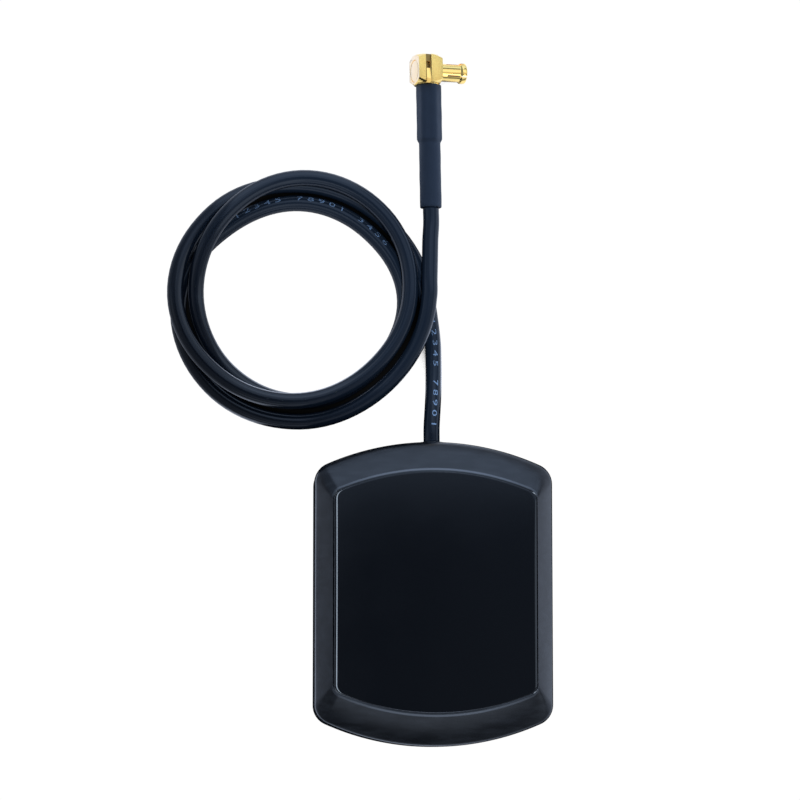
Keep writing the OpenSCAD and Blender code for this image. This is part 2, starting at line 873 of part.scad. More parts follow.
// Slotted tube with a snap ring at its tip
module outer_contact() {
  bore_r = tube_r - tube_wall;
  lead_in = snap_r - tube_r;
  land_from = tube_tip - lead_in - snap_land;
  color("#e0b84f")
  in_plug()
  translate([0, mating_y, 0])
  difference() {
    rotate([0, 90, 0])
      rotate_extrude()
        polygon([
          [bore_r, block_right - tube_seat], [tube_r, block_right - tube_seat],
          [tube_r, land_from - lead_in], [snap_r, land_from], [snap_r, land_from + snap_land],
          [tube_r, tube_tip], [bore_r, tube_tip]
        ]);
    for (i = [0:slot_count - 1])
      rotate([slot_turn + i * 360 / slot_count, 0, 0])
        translate([tube_tip - slot_l, -slot_w / 2, 0])
          cube([slot_l + cut, slot_w, snap_r + cut]);
  }
}

module plug_insulator() {
  color("#f0efe9")
  in_plug()
  translate([0, mating_y, 0])
  difference() {
    union() {
      rod_x(insulator_r, insulator_back - insulator_foot_t, insulator_front);
      rod_x(insulator_foot_r, insulator_back - insulator_foot_t, insulator_back);
    }
    rod_x(pin_r + slip, insulator_back - insulator_foot_t - cut, insulator_front + cut);
  }
}

module centre_pin() {
  cup_front = insulator_back - insulator_foot_t;
  color("#e3bd55")
  in_plug()
  translate([0, mating_y, 0]) {
    rod_x(pin_r, cup_front - slice, pin_tip);
    rod_x(cup_r, cup_front - cup_l, cup_front);
  }
}

top_cover();
base_tray();
seal_gasket();
foot_pad();
magnet();
base_screws();
cable_grommet();
lna_board();
patch_tape();
ground_electrode();
patch_ceramic();
patch_electrode();
feed_pin();
shield_can();
lna_chip();
saw_filter();
chip_capacitors();
solder_joints();
entry_jacket();
entry_braid();
entry_dielectric();
entry_core();
cable_lead();
cable_coil();
plug_lead();
plug_jacket();
plug_braid();
plug_dielectric();
plug_core();
heat_shrink();
crimp_ferrule();
crimp_stem();
plug_body();
plug_cap();
outer_contact();
plug_insulator();
centre_pin();
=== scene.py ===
"""Looks of a magnetic-base patch antenna with a coiled coax lead and a right-angle plug.

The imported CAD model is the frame. Lengths in the code are millimetres in the model's own frame, and
every mesh is written out in metres.
"""

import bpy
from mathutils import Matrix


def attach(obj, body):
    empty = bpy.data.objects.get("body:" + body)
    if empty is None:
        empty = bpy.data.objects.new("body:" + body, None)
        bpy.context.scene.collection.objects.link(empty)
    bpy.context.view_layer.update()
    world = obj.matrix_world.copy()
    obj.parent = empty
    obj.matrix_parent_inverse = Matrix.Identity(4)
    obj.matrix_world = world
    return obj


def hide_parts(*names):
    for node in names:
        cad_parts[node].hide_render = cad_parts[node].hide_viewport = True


bl_info = {
    "name": "Patch Antenna",
    "version": (1, 0, 0),
    "blender": (4, 5, 0),
    "location": "View3D > Sidebar > Antenna",
    "description": "Builds the housing, lead and plug of a patch antenna on its CAD frame",
    "category": "Add Mesh",
}

import math

import bmesh
import bpy
import numpy as np
from bpy.props import FloatProperty, FloatVectorProperty, IntProperty, PointerProperty, StringProperty
from mathutils import Matrix, Vector

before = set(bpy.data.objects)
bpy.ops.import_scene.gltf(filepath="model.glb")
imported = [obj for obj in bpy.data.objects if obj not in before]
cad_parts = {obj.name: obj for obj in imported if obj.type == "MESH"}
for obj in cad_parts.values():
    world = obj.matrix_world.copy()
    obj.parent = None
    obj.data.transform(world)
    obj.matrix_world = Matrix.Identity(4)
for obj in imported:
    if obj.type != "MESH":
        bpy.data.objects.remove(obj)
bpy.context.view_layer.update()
MM = 0.001
BODY = "root"


def linear(hex_code):
    """Linear red, green and blue of an sRGB hex value."""
    channels = [int(hex_code[i : i + 2], 16) / 255 for i in (1, 3, 5)]
    return tuple(c / 12.92 if c <= 0.04045 else ((c + 0.055) / 1.055) ** 2.4 for c in channels)


def length(name, description, millimetres):
    """A length that a user may change, shown in the scene's units."""
    return FloatProperty(
        name=name, description=description, default=millimetres * MM, unit="LENGTH", precision=5, min=0
    )


def colour(name, description, hex_code):
    """A colour that a user may change."""
    return FloatVectorProperty(
        name=name, description=description, default=linear(hex_code), subtype="COLOR", size=3, min=0, max=1
    )


class HousingSettings(bpy.types.PropertyGroup):
    """Sizes and colours of the moulded housing."""

    width: length("Width", "Across the straight sides", 40.8)
    length: length("Length", "Between the bowed ends", 52)
    height: length("Height", "From the surface to the top panel", 13.2)
    bow: length("Bow radius", "Radius of the bowed ends from above", 45)
    corner: length("Corner radius", "Radius of the upright corners", 3.6)
    seam: length("Seam height", "Height of the seam between base and cover", 6.8)
    bevel_side: length("Side bevel", "Width of the sloping band at the sides", 3)
    bevel_end: length("End bevel", "Width of the sloping band at the ends", 5.3)
    bevel_rise: length("Bevel height", "Height of the sloping band", 4.3)
    panel_bow: length("Panel bow", "Radius of the panel's bowed ends", 42)
    panel_corner: length("Panel corner", "Corner radius at the top of the sloping band", 2)
    panel_rise: length("Panel height", "How far the panel stands above its ledge", 0.5)
    ledge: length("Ledge", "Width of the ledge around the panel", 0.4)
    plastic: colour("Plastic", "Colour of the moulded plastic", "#07090d")
    texture: colour("Textured walls", "Colour of the walls, which the texture makes paler", "#1b1e24")
    rubber: colour("Rubber", "Colour of the foot pad and the grommet", "#1a1b1d")


class LeadSettings(bpy.types.PropertyGroup):
    """Size and colours of the coax lead."""

    diameter: length("Diameter", "Outside diameter of the jacket", 2.8)
    layer: length("Layer height", "Rise from one layer of the coil to the next", 3.3)
    jacket: colour("Jacket", "Colour of the jacket", "#070c14")
    ink: colour("Ink", "Colour of the printed marks", "#a3bfdb")
    digits: StringProperty(name="Digits", description="Plain numbers on the jacket", default="1234567890")
    digit_pitch: length("Digit pitch", "Distance between printed digits", 1.85)


class PlugSettings(bpy.types.PropertyGroup):
    """Sizes and colours of the right-angle plug."""

    roll: FloatProperty(
        name="Roll", description="Roll about the lead as it lies", default=math.radians(16), subtype="ANGLE"
    )
    turn: FloatProperty(
        name="Turn", description="Turn on the surface as it lies", default=math.radians(1), subtype="ANGLE"
    )
    tube: length("Tube radius", "Outer radius of the mating tube", 1.55)
    ring: length("Ring radius", "Radius of the ring at the tube's tip", 1.8)
    slots: IntProperty(name="Slots", description="Slots in the mating tube", default=4, min=2, max=8)
    slot: length("Slot width", "Width of each slot", 0.3)
    gold: colour("Gold", "Colour of the plated metal", "#ffd77d")
    sleeve: colour("Sleeve", "Colour of the heat-shrink sleeve", "#293646")


class StageSettings(bpy.types.PropertyGroup):
    """Camera and light."""

    lens: FloatProperty(name="Focal length", description="Focal length in millimetres", default=157.5, min=10)
    lamp: FloatProperty(name="Light", description="Strength of the room's dim light", default=0.15, min=0)
    floor: colour("Floor", "Colour of the pale floor", "#dfeaf6")


def in_scene(name, data):
    """A new object at the origin, in the scene."""
    obj = bpy.data.objects.new(name, data)
    bpy.context.scene.collection.objects.link(obj)
    return obj


def new_mesh(name, points, faces, materials, smooth=True):
    """An object at the origin from points in millimetres, with its faces turned outwards."""
    mesh = bpy.data.meshes.new(name)
    mesh.from_pydata([tuple(c * MM for c in p) for p in points], [], [tuple(f) for f in faces])
    turned = bmesh.new()
    turned.from_mesh(mesh)
    bmesh.ops.recalc_face_normals(turned, faces=turned.faces)
    turned.to_mesh(mesh)
    turned.free()
    for material in materials:
        mesh.materials.append(material)
    if smooth:
        mesh.shade_smooth()
    return in_scene(name, mesh)


def loft(rings, closed=False):
    """Points and faces of a skin over rings of equal count. A single point at an end is a pole."""
    points, starts, faces = [], [], []
    for r in rings:
        starts.append(len(points))
        points.extend(tuple(float(c) for c in p) for p in r)
    pairs = list(zip(range(len(rings) - 1), range(1, len(rings))))
    if closed:
        pairs.append((len(rings) - 1, 0))
    for i, j in pairs:
        a, b, na, nb = starts[i], starts[j], len(rings[i]), len(rings[j])
        n = max(na, nb)
        for k in range(n):
            m = (k + 1) % n
            if na == 1:
                faces.append((a, b + k, b + m))
            elif nb == 1:
                faces.append((a + k, a + m, b))
            else:
                faces.append((a + k, a + m, b + m, b + k))
    return points, faces


def lathe(profile, sides=48):
    """Rings around the Y axis from (radius, y) pairs."""
    turns = [math.tau * k / sides for k in range(sides)]
    return [[(r * math.sin(a), y, r * math.cos(a)) for a in turns] for r, y in profile]


def rounded(start, corner, end, steps=4):
    """Points on a smooth curve that rounds a corner."""
    start, corner, end = (np.asarray(p, float) for p in (start, corner, end))
    return [
        (1 - t) ** 2 * start + 2 * t * (1 - t) * corner + t * t * end
        for t in (i / steps for i in range(steps + 1))
    ]


def finish_piece(obj, slot, *nodes):
    """Ties a piece to the frame's body and hides the CAD nodes that it stands for. Its slot, the finish, is
    not used.
    """
    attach(obj, BODY)
    if nodes:
        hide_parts(*nodes)
    return obj


def dress(name, material):
    """Gives a CAD node its material and leaves its shape."""
    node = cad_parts[name]
    node.data.materials.clear()
    node.data.materials.append(material)


def add(tree, kind, inputs=None, **settings):
    """Adds a node with its settings, sets or links its inputs, and gives its outputs."""
    made = tree.nodes.new(kind)
    for key, value in settings.items():
        setattr(made, key, value)
    for key, value in (inputs or {}).items():
        if isinstance(value, bpy.types.NodeSocket):
            tree.links.new(value, made.inputs[key])
        else:
            made.inputs[key].default_value = value
    return made.outputs


def maths(tree, operation, *values):
    """One step of arithmetic on up to three values."""
    return add(tree, "ShaderNodeMath", dict(enumerate(values)), operation=operation)["Value"]


def product(tree, *values):
    """Values multiplied together."""
    out = values[0]
    for value in values[1:]:
        out = maths(tree, "MULTIPLY", out, value)
    return out


def total(tree, *values):
    """Values added together."""
    out = values[0]
    for value in values[1:]:
        out = maths(tree, "ADD", out, value)
    return out


def vectors(tree, operation, *values):
    """The outputs of one step of vector arithmetic."""
    return add(tree, "ShaderNodeVectorMath", dict(enumerate(values)), operation=operation)


def split(tree, vector):
    """The X, Y and Z of a vector."""
    return add(tree, "ShaderNodeSeparateXYZ", {0: vector})


def stretched(tree, place, scale):
    """Places scaled by axis, to draw a pattern out."""
    return add(tree, "ShaderNodeMapping", {"Vector": place, "Scale": scale})["Vector"]


def ramp(tree, value, low_end, high_end, to_min, to_max, **settings):
    """A value carried from one range to another, and held at its ends."""
    given = {"Value": value, "From Min": low_end, "From Max": high_end, "To Min": to_min, "To Max": to_max}
    return add(tree, "ShaderNodeMapRange", given, **settings)["Result"]


def noise(tree, place, scale, detail, roughness=0.5):
    """Soft random grey, about one cloud for each unit of scale."""
    given = {"Vector": place, "Scale": scale, "Detail": detail, "Roughness": roughness}
    return add(tree, "ShaderNodeTexNoise", given)["Fac"]


def bump(tree, height, strength, depth_mm):
    """A normal that follows a height."""
    given = {"Height": height, "Strength": strength, "Distance": depth_mm * MM}
    return add(tree, "ShaderNodeBump", given)["Normal"]


def scaled(tree, base, factor):
    """A colour times a value."""
    given = {0: tuple(base), "Scale": factor}
    return add(tree, "ShaderNodeVectorMath", given, operation="SCALE")["Vector"]


def blend(tree, factor, first, second):
    """A colour between two colours."""
    given = {"Factor": factor, "A": (*first, 1), "B": (*second, 1)}
    return add(tree, "ShaderNodeMix", given, data_type="RGBA")["Result"]


def mixed_shaders(tree, factor, first, second):
    """A shader between two shaders."""
    return add(tree, "ShaderNodeMixShader", {0: factor, 1: first, 2: second})["Shader"]


def surface(name, base, roughness, metallic=0.0, ior=1.5, specular=0.5):
    """A new material with a plain shader, ready for its pattern."""
    made = bpy.data.materials.new(name)
    made.use_nodes = True
    made.diffuse_color = (*base, 1)
    shader = made.node_tree.nodes["Principled BSDF"].inputs
    shader["Base Color"].default_value = (*base, 1)
    shader["Roughness"].default_value = roughness
    shader["Metallic"].default_value = metallic
    shader["Specular IOR Level"].default_value = specular
    if not metallic:
        shader["IOR"].default_value = ior
    return made, made.node_tree, shader


def grained(name, base, roughness, grain_mm, bump_mm, spread=0.12, metallic=0.0, speckle=0.0, specular=0.5):
    """A surface with fine grain of a real size: bump, and a little spread of colour and gloss."""
    made, tree, shader = surface(name, base, roughness, metallic, specular=specular)
    place = add(tree, "ShaderNodeTexCoord")["Object"]
    fine = noise(tree, place, 1 / (grain_mm * MM), 3, 0.6)
    broad = noise(tree, place, 1 / (grain_mm * 40 * MM), 2)
    tint = ramp(tree, broad, 0, 1, 1 - spread, 1 + spread)
    specks = ramp(tree, fine, 0.3, 0.7, 1 - speckle, 1 + speckle)
    least, most = max(0.02, roughness * (1 - 1.5 * spread)), min(1, roughness * (1 + 1.5 * spread))
    tree.links.new(scaled(tree, base, product(tree, tint, specks)), shader["Base Color"])
    tree.links.new(ramp(tree, fine, 0, 1, least, most), shader["Roughness"])
    tree.links.new(bump(tree, fine, 0.6, bump_mm), shader["Normal"])
    return made


def moulded_abs(base, ledge_z, panel_z):
    """Black ABS from a steel mould: fine satin texture on the bevels, a smoother top panel, and painted
    highlights along edges.
    """
    made, tree, shader = surface("moulded_black_abs", base, 0.3, ior=1.46)
    place = add(tree, "ShaderNodeTexCoord")["Object"]
    axes = split(tree, place)
    # The mould's spark texture is about 0.05 mm, drawn at 0.11 mm so that it shows
    grit = noise(tree, place, 1 / (0.11 * MM), 2)
    # Handling leaves slow changes of gloss over about a centimetre
    haze = noise(tree, place, 1 / (9 * MM), 4)
    panel = ramp(tree, axes["Z"], (ledge_z - 0.03) * MM, (ledge_z - 0.005) * MM, 0, 1)
    gloss = product(tree, ramp(tree, panel, 0, 1, 0.15, 0.06), ramp(tree, haze, 0.3, 0.7, 0.85, 1.15))
    relief = bump(tree, grit, ramp(tree, panel, 0, 1, 0.16, 0.04), 0.02)

    def between(low, high, soft):
        rise = ramp(tree, axes["Z"], low * MM, (low + soft) * MM, 0, 1)
        return product(tree, rise, ramp(tree, axes["Z"], high * MM, (high + soft) * MM, 1, 0))

    # Painted highlights: paler colour along the top of the sloping band at both ends, and along the panel's
    # front rim
    end_highlight_share = ramp(tree, maths(tree, "ABSOLUTE", axes["Y"]), 15.5 * MM, 21.5 * MM, 0, 0.55)
    front_highlight_share = ramp(tree, axes["Y"], -21.3 * MM, -19 * MM, 0.8, 0)
    band_top_highlight = product(tree, between(ledge_z - 0.3, ledge_z - 0.06, 0.1), end_highlight_share)
    front_rim_highlight = product(tree, between(panel_z - 0.14, panel_z - 0.015, 0.01), front_highlight_share)
    # Faint streaks across the band where it has been wiped
    across = noise(tree, stretched(tree, place, (0.35, 1.6, 1)), 1 / (1.6 * MM), 5)
    wiped = ramp(tree, across, 0.42, 0.72, 0, 0.05)
    streaks = product(tree, wiped, maths(tree, "SUBTRACT", 1.0, panel))
    # The wipe streaks and the painted highlights lift the base towards a pale grey
    paler = blend(tree, total(tree, streaks, band_top_highlight, front_rim_highlight), base, (0.22, 0.23, 0.25))
    tree.links.new(paler, shader["Base Color"])
    tree.links.new(gloss, shader["Roughness"])
    tree.links.new(relief, shader["Normal"])
    return made


def extruded_pvc(base):
    """Black PVC drawn over a braid: smooth, with faint lengthwise die lines and the braid's weave below."""
    made, tree, shader = surface("extruded_black_pvc", base, 0.27, specular=0.36)
    # The jacket's own map runs in millimetres along the lead and around it
    flat = add(tree, "ShaderNodeUVMap", uv_map="jacket")["UV"]
    axes = split(tree, flat)
    lines = noise(tree, stretched(tree, flat, (0.03, 3, 1)), 1.6, 3)
    # Two crossing sets of strands, 0.55 mm apart
    waves = []
    for sign in (1.0, -1.0):
        slant = maths(tree, "MULTIPLY_ADD", axes["Y"], sign, axes["X"])
        waves.append(maths(tree, "SINE", product(tree, slant, math.tau / 0.55)))
    both = maths(tree, "MULTIPLY_ADD", product(tree, *waves), 0.12, lines)
    tree.links.new(ramp(tree, lines, 0, 1, 0.12, 0.22), shader["Roughness"])
    tree.links.new(bump(tree, both, 0.35, 0.03), shader["Normal"])
    return made


def node_group(name, kinds):
    """A geometry node group, the outputs of its input node, and the identifiers of its named inputs."""
    tree = bpy.data.node_groups.new(name, "GeometryNodeTree")
    names = {}
    for label, kind in {"Geometry": "Geometry", **kinds}.items():
        socket = tree.interface.new_socket(label, in_out="INPUT", socket_type="NodeSocket" + kind)
        names[label] = socket.identifier
    tree.interface.new_socket("Geometry", in_out="OUTPUT", socket_type="NodeSocketGeometry")
    return tree, add(tree, "NodeGroupInput"), names


def end_group(tree, spots, instance, rotation, material):
    """Ends a node group with copies on points, made real and given their material."""
    given = {"Points": spots, "Instance": instance, "Rotation": rotation}
    placed = add(tree, "GeometryNodeInstanceOnPoints", given)["Instances"]
    real = add(tree, "GeometryNodeRealizeInstances", {"Geometry": placed})["Geometry"]
    dressed = add(tree, "GeometryNodeSetMaterial", {"Geometry": real, "Material": material})["Geometry"]
    add(tree, "NodeGroupOutput", {"Geometry": dressed})


def run_group(obj, tree, names, values):
    """The plain mesh that a node group makes of an object, which is removed with its modifier."""
    run = obj.modifiers.new(tree.name, "NODES")
    run.node_group = tree
    for label, value in values.items():
        run[names[label]] = value
    mesh = bpy.data.meshes.new_from_object(obj.evaluated_get(bpy.context.evaluated_depsgraph_get()))
    obj.modifiers.remove(run)
    bpy.data.objects.remove(obj)
    return mesh


# Route of the lead in millimetres, the same points as the CAD source, from where it leaves the housing
EXIT_Y = 26.3
EXIT_Z = 3.8
LEAD_START = [
    (0, 0, EXIT_Z), (0, 2.7, EXIT_Z), (0.2, 5.7, 3.3), (0.4, 8.7, 2.5), (0.5, 11.7, 1.8),
    (0.5, 14.7, 1.5), (0.4, 17.7, 1.45), (0, 21.2, 1.45),
]
COIL_CENTRE = (-22.7, 25)
COIL_RADIUS = [
    22.1, 20.3, 20.25, 21.25, 21.65, 19.6, 18, 17.45,
    18.9, 20.5, 20.85, 19.1, 18.1, 17.6, 17.75, 17.5,
    18.25, 16.9, 17, 17.8, 21, 21.7, 21.25, 21.1, 22.2,
]
COIL_LAYER = [
    0, 0, 0, 0.6, 1, 1, 1, 1,
    1, 1, 1.06, 1.5, 0.7, 0, 0, 0,
    0, 0, 0, 0, 0, 0, 0, 0.6, 1,
]
COIL_LOW = 1.45
COIL_TURNS = 3
COIL_STATIONS = 8
POINTS_PER_TURN = 96
LEAD_END = [(-0.4, 28.4, 4.75), (-0.3, 31.9, 4.4), (-0.2, 35.4, 3.95)]
PLUG_PLACE = (-0.5, 65.4)
PLUG_HEIGHT = 3.627041
MOUTH_Y = -24.3


def eased_through(p0, p1, p2, p3, f):
    """A number or point between the middle two of four, on a smooth curve through all of them."""
    return p1 + f * (p2 - p0 + f * (2 * p0 - 5 * p1 + 4 * p2 - p3 + f * (3 * p1 - p0 - 3 * p2 + p3))) / 2


def coil_radius(t):
    """The coil's radius after so many stations."""
    last = len(COIL_RADIUS) - 1
    i = min(int(t), last - 1)
    a, b = COIL_RADIUS[i], COIL_RADIUS[i + 1]
    before = COIL_RADIUS[i - 1] if i > 0 else 2 * a - b
    after = COIL_RADIUS[i + 2] if i < last - 1 else 2 * b - a
    return eased_through(before, a, b, after, t - i)


def coil_point(turn, layer_mm):
    """A point of the coil after so many turns."""
    t = turn * COIL_STATIONS
    r, a = coil_radius(t), turn * math.tau
    i = min(int(t), len(COIL_LAYER) - 2)
    f = t - i
    layer = COIL_LAYER[i] + (COIL_LAYER[i + 1] - COIL_LAYER[i]) * f * f * (3 - 2 * f)
    x, y = COIL_CENTRE
    return np.array((x + r * math.cos(a), y + r * math.sin(a), COIL_LOW + layer * layer_mm))


def lead_route(lead, plug):
    """The whole centreline of the lead in millimetres, and the place in it where the coil begins."""
    away = np.array((math.sin(plug.turn), -math.cos(plug.turn), 0))
    mouth = np.array((*PLUG_PLACE, PLUG_HEIGHT)) - MOUTH_Y * away
    ends = [np.array(p, float) for p in LEAD_END] + [mouth + lead.diameter / MM * away, mouth]
    start = [np.array(p, float) for p in LEAD_START]
    stations = range(COIL_TURNS * POINTS_PER_TURN + 1)
    coil = [coil_point(i / POINTS_PER_TURN, lead.layer / MM) for i in stations]
    near = coil[:: POINTS_PER_TURN // 24]

    def through(points, steps=8):
        fours = [points[i - 1 : i + 3] for i in range(1, len(points) - 2)]
        return [eased_through(*four, k / steps) for four in fours for k in range(steps)]

    first = through([2 * start[0] - start[1], *start, near[0], near[1]])
    last = through([near[-2], near[-1], *ends, 2 * ends[-1] - ends[-2]])
    route = np.array([*first, *coil, *last[1:], ends[-1]])
    route[:, 1] += EXIT_Y
    return route, len(first)


def lead_frames(route):
    """Length so far, sideways and upwards directions at each point of the route."""
    steps = np.linalg.norm(np.diff(route, axis=0), axis=1)
    so_far = np.concatenate([[0], np.cumsum(steps)])
    along = np.gradient(route, so_far, axis=0)
    along /= np.linalg.norm(along, axis=1)[:, None]
    side = np.cross(along, (0, 0, 1))
    side /= np.linalg.norm(side, axis=1)[:, None]
    return so_far, side, np.cross(side, along)


# The camera is nearly overhead, a little to the left and below
CAMERA_PLACE = (-44.2, -36.69, 602.77)
CAMERA_LEFT = math.radians(3.7)
CAMERA_BELOW = math.radians(6.7)


def photo_camera(scene, stage):
    """A camera where the photo was taken from."""
    camera = in_scene("camera", bpy.data.cameras.new("camera"))
    camera.data.lens = stage.lens
    camera.data.sensor_width = 36
    camera.data.clip_start, camera.data.clip_end = 0.01, 50
    back = Vector((-math.tan(CAMERA_LEFT), -math.tan(CAMERA_BELOW), 1)).normalized()
    right = Vector((0, 1, 0)).cross(back).normalized()
    turn = Matrix((right, back.cross(right), back)).transposed().to_4x4()
    camera.matrix_world = Matrix.Translation(Vector(CAMERA_PLACE) * MM) @ turn
    scene.camera = camera


def paper_floor(stage, housing):
    """White paper that glows a little, brighter towards the right, with painted shade close to what stands on
    it and a painted pool of light beside the housing.
    """
    low = -0.03 * MM
    sheet = bpy.data.meshes.new("floor")
    sheet.from_pydata([(-1, -0.08, low), (1, -0.08, low), (1, 4, low), (-1, 4, low)], [], [(0, 1, 2, 3)])
    paper, tree, shader = surface("white_paper", stage.floor, 0.9, specular=0)
    path = add(tree, "ShaderNodeLightPath")
    geometry = add(tree, "ShaderNodeNewGeometry")
    spot = geometry["Position"]
    axes = split(tree, spot)
    open_sky = add(tree, "ShaderNodeAmbientOcclusion", {"Distance": 9 * MM}, samples=12)["AO"]

    # Painted shadow: the floor is painted dark between the innermost and the outermost strand of the coil
    centre = (COIL_CENTRE[0] * MM, (COIL_CENTRE[1] + EXIT_Y) * MM, 0)
    spoke = split(tree, vectors(tree, "SUBTRACT", spot, centre)["Vector"])
    bearing = ramp(tree, maths(tree, "ARCTAN2", spoke["Y"], spoke["X"]), -math.pi, math.pi, 0, 1)
    from_centre = vectors(tree, "DISTANCE", spot, centre)["Value"]
    # The curve runs from 0 to 1, which stands for this radius
    whole_radius, parts = 30, 32

    def past_strand(pick):
        curve = add(tree, "ShaderNodeFloatCurve", {"Value": bearing})["Value"]
        radii = []
        for k in range(parts + 1):
            turn = (k / parts + 0.5) % 1
            strands = [coil_radius((n + turn) * COIL_STATIONS) for n in range(COIL_TURNS)]
            radii.append(pick(strands) / whole_radius)
        marks = curve.node.mapping.curves[0].points
        marks[0].location = (0, radii[0])
        marks[1].location = (1, radii[-1])
        for k in range(1, parts):
            marks.new(k / parts, radii[k])
        curve.node.mapping.update()
        past = maths(tree, "MULTIPLY_ADD", curve, -whole_radius * MM, from_centre)
        return ramp(tree, past, -0.3 * MM, 0.3 * MM, 0, 1)

    among_strands = maths(tree, "SUBTRACT", past_strand(min), past_strand(max))
    outside_painted_coil_shadow = ramp(tree, among_strands, 0, 1, 1, 0.004)
    # Painted shadow right beside the housing, and a painted pool of light a little further out, most on its
    # left
    reach = []
    for axis, size in (("X", housing.width), ("Y", housing.length)):
        reach.append(maths(tree, "SUBTRACT", maths(tree, "ABSOLUTE", axes[axis]), size / 2))
    beside = maths(tree, "MAXIMUM", *reach)
    light_pool_on_left = ramp(tree, axes["X"], 0, 20 * MM, 2.4, 0.3)
    more = product(tree, ramp(tree, beside, 15 * MM, 22 * MM, 1, 0), light_pool_on_left)
    far = vectors(tree, "DISTANCE", spot, (0, 30 * MM, 0))["Value"]
    # The paper's colour carries painted shade and light: dark where ambient occlusion finds things close,
    # dark beside the housing and among the strands, the painted pool of light, dimmer far off and towards the
    # left, brighter around the plug
    shade = product(
        tree,
        ramp(tree, open_sky, 0.5, 0.72, 0.02, 1),
        ramp(tree, beside, 8.5 * MM, 11 * MM, 0, 1),
        outside_painted_coil_shadow,
        ramp(tree, far, 60 * MM, 130 * MM, 1, 0.35),
        total(tree, more, 1.0),
        ramp(tree, axes["X"], -45 * MM, 0, 0.64, 1),
        ramp(tree, axes["Y"], 65 * MM, 85 * MM, 1, 1.5),
    )
    tree.links.new(scaled(tree, stage.floor, shade), shader["Base Color"])
    # The paper glows with the same painted light and shade
    shader["Emission Color"].default_value = (0.95, 0.97, 1.06, 1)
    tree.links.new(product(tree, shade, 0.48), shader["Emission Strength"])
    # The camera sees it overexposed, except in the narrow gaps of the coil, where the painted shadow shows
    glare = product(tree, ramp(tree, open_sky, 0.1, 0.25, 0, 1), outside_painted_coil_shadow, path["Is Camera Ray"])
    white = add(tree, "ShaderNodeEmission", {"Strength": 1.02})["Emission"]
    lit = tree.nodes["Principled BSDF"].outputs["BSDF"]
    exposed = mixed_shaders(tree, glare, lit, white)
    # Seen from below or from very close the paper lets the light through, so that the underside shows
    clear = add(tree, "ShaderNodeBsdfTransparent")["BSDF"]
    close = maths(tree, "LESS_THAN", path["Ray Length"], 0.6 * MM)
    through = maths(tree, "MAXIMUM", geometry["Backfacing"], close)
    mixed = mixed_shaders(tree, through, exposed, clear)
    tree.links.new(mixed, tree.nodes["Material Output"].inputs["Surface"])
    sheet.materials.append(paper)
    in_scene("floor", sheet)


def soft_room(scene, stage):
    """Pale screens and soft lamps around the object in a dim room, plain white to the camera."""
    scene.world = bpy.data.worlds.new("soft_ring")
    scene.world.use_nodes = True
    tree = scene.world.node_tree
    tree.nodes.clear()
    way = add(tree, "ShaderNodeTexCoord")["Generated"]
    up = split(tree, way)["Z"]
    level = vectors(tree, "NORMALIZE", vectors(tree, "MULTIPLY", way, (1, 1, 0))["Vector"])["Vector"]

    def toward(axis, heading=way):
        return vectors(tree, "DOT_PRODUCT", heading, axis)["Value"]

    def step(value, low_end, high_end, to_min, to_max):
        return ramp(tree, value, low_end, high_end, to_min, to_max, interpolation_type="SMOOTHSTEP")

    # Two pale screens stand low in front and behind, and the walls beside them are brighter on the right
    backwards, rightwards = toward((0, 1, 0), level), toward((1, 0, 0), level)
    to_front = step(toward((0, -1, 0), level), 0.84, 0.93, 0, 1)
    to_back = step(backwards, 0.84, 0.93, 0, 1)
    rise = total(tree, step(up, 0.19, 0.26, 0.02, 0.45), step(up, 0.26, 0.36, 0, 0.3))
    front = product(tree, to_front, rise, step(up, 0.42, 0.58, 1, 0))
    behind = product(tree, to_back, step(up, -0.03, 0.06, 0.62, 1.12), step(up, 0.3, 0.42, 1, 0.3))
    beside = product(
        tree,
        step(backwards, -0.93, -0.84, 0, 1),
        step(backwards, 0.84, 0.93, 1, 0),
        step(backwards, -0.9, 0.3, 0.23, 1),
        step(rightwards, -0.5, 0.8, 0.29, 0.9),
        step(up, -0.1, 0, 0.2, 1),
        step(up, 0.3, 0.42, 1, 0),
    )
    # Three softer lamps above them draw lines along the lead
    high_back = product(tree, to_back, step(up, 0.28, 0.5, 0, 0.8), step(up, 0.58, 0.8, 1, 0))
    high_front = product(tree, to_front, step(up, 0.62, 0.74, 0, 0.2), step(up, 0.8, 0.9, 1, 0))
    high_left = step(toward((-0.866, 0, 0.5)), 0.965, 0.99, 0, 0.3)
    # The rest of the room is dim, with a dark ceiling and a panel over it towards the back
    ceiling = step(toward((1, 0, 0)), 0.05, 0.1, 0.08, 0.15)
    dim = product(tree, stage.lamp, step(up, 0.19, 0.3, 0.2, 1), step(up, 0.85, 0.97, 1, 0))
    overhead = product(
        tree,
        step(toward((0, 1, 0)), 0.0885, 0.0925, 0, 0.44),
        step(toward((1, 0.4, 0)), 0.06, 0.11, 0.15, 1),
        step(up, 0.5, 0.8, 0, 1),
    )
    strength = total(tree, front, behind, beside, high_back, high_front, high_left, ceiling, dim, overhead)
    # It is bluer towards the back
    hue = blend(tree, step(toward((0, 1, 0)), 0, 0.12, 0, 1), (0.81, 0.94, 1.17), (0.72, 0.93, 1.3))
    glow = add(tree, "ShaderNodeBackground", {"Color": hue, "Strength": strength})["Background"]
    plain = add(tree, "ShaderNodeBackground", {"Color": (1, 1, 1, 1), "Strength": 1.05})["Background"]
    seen = add(tree, "ShaderNodeLightPath")["Is Camera Ray"]
    add(tree, "ShaderNodeOutputWorld", {"Surface": mixed_shaders(tree, seen, glow, plain)})


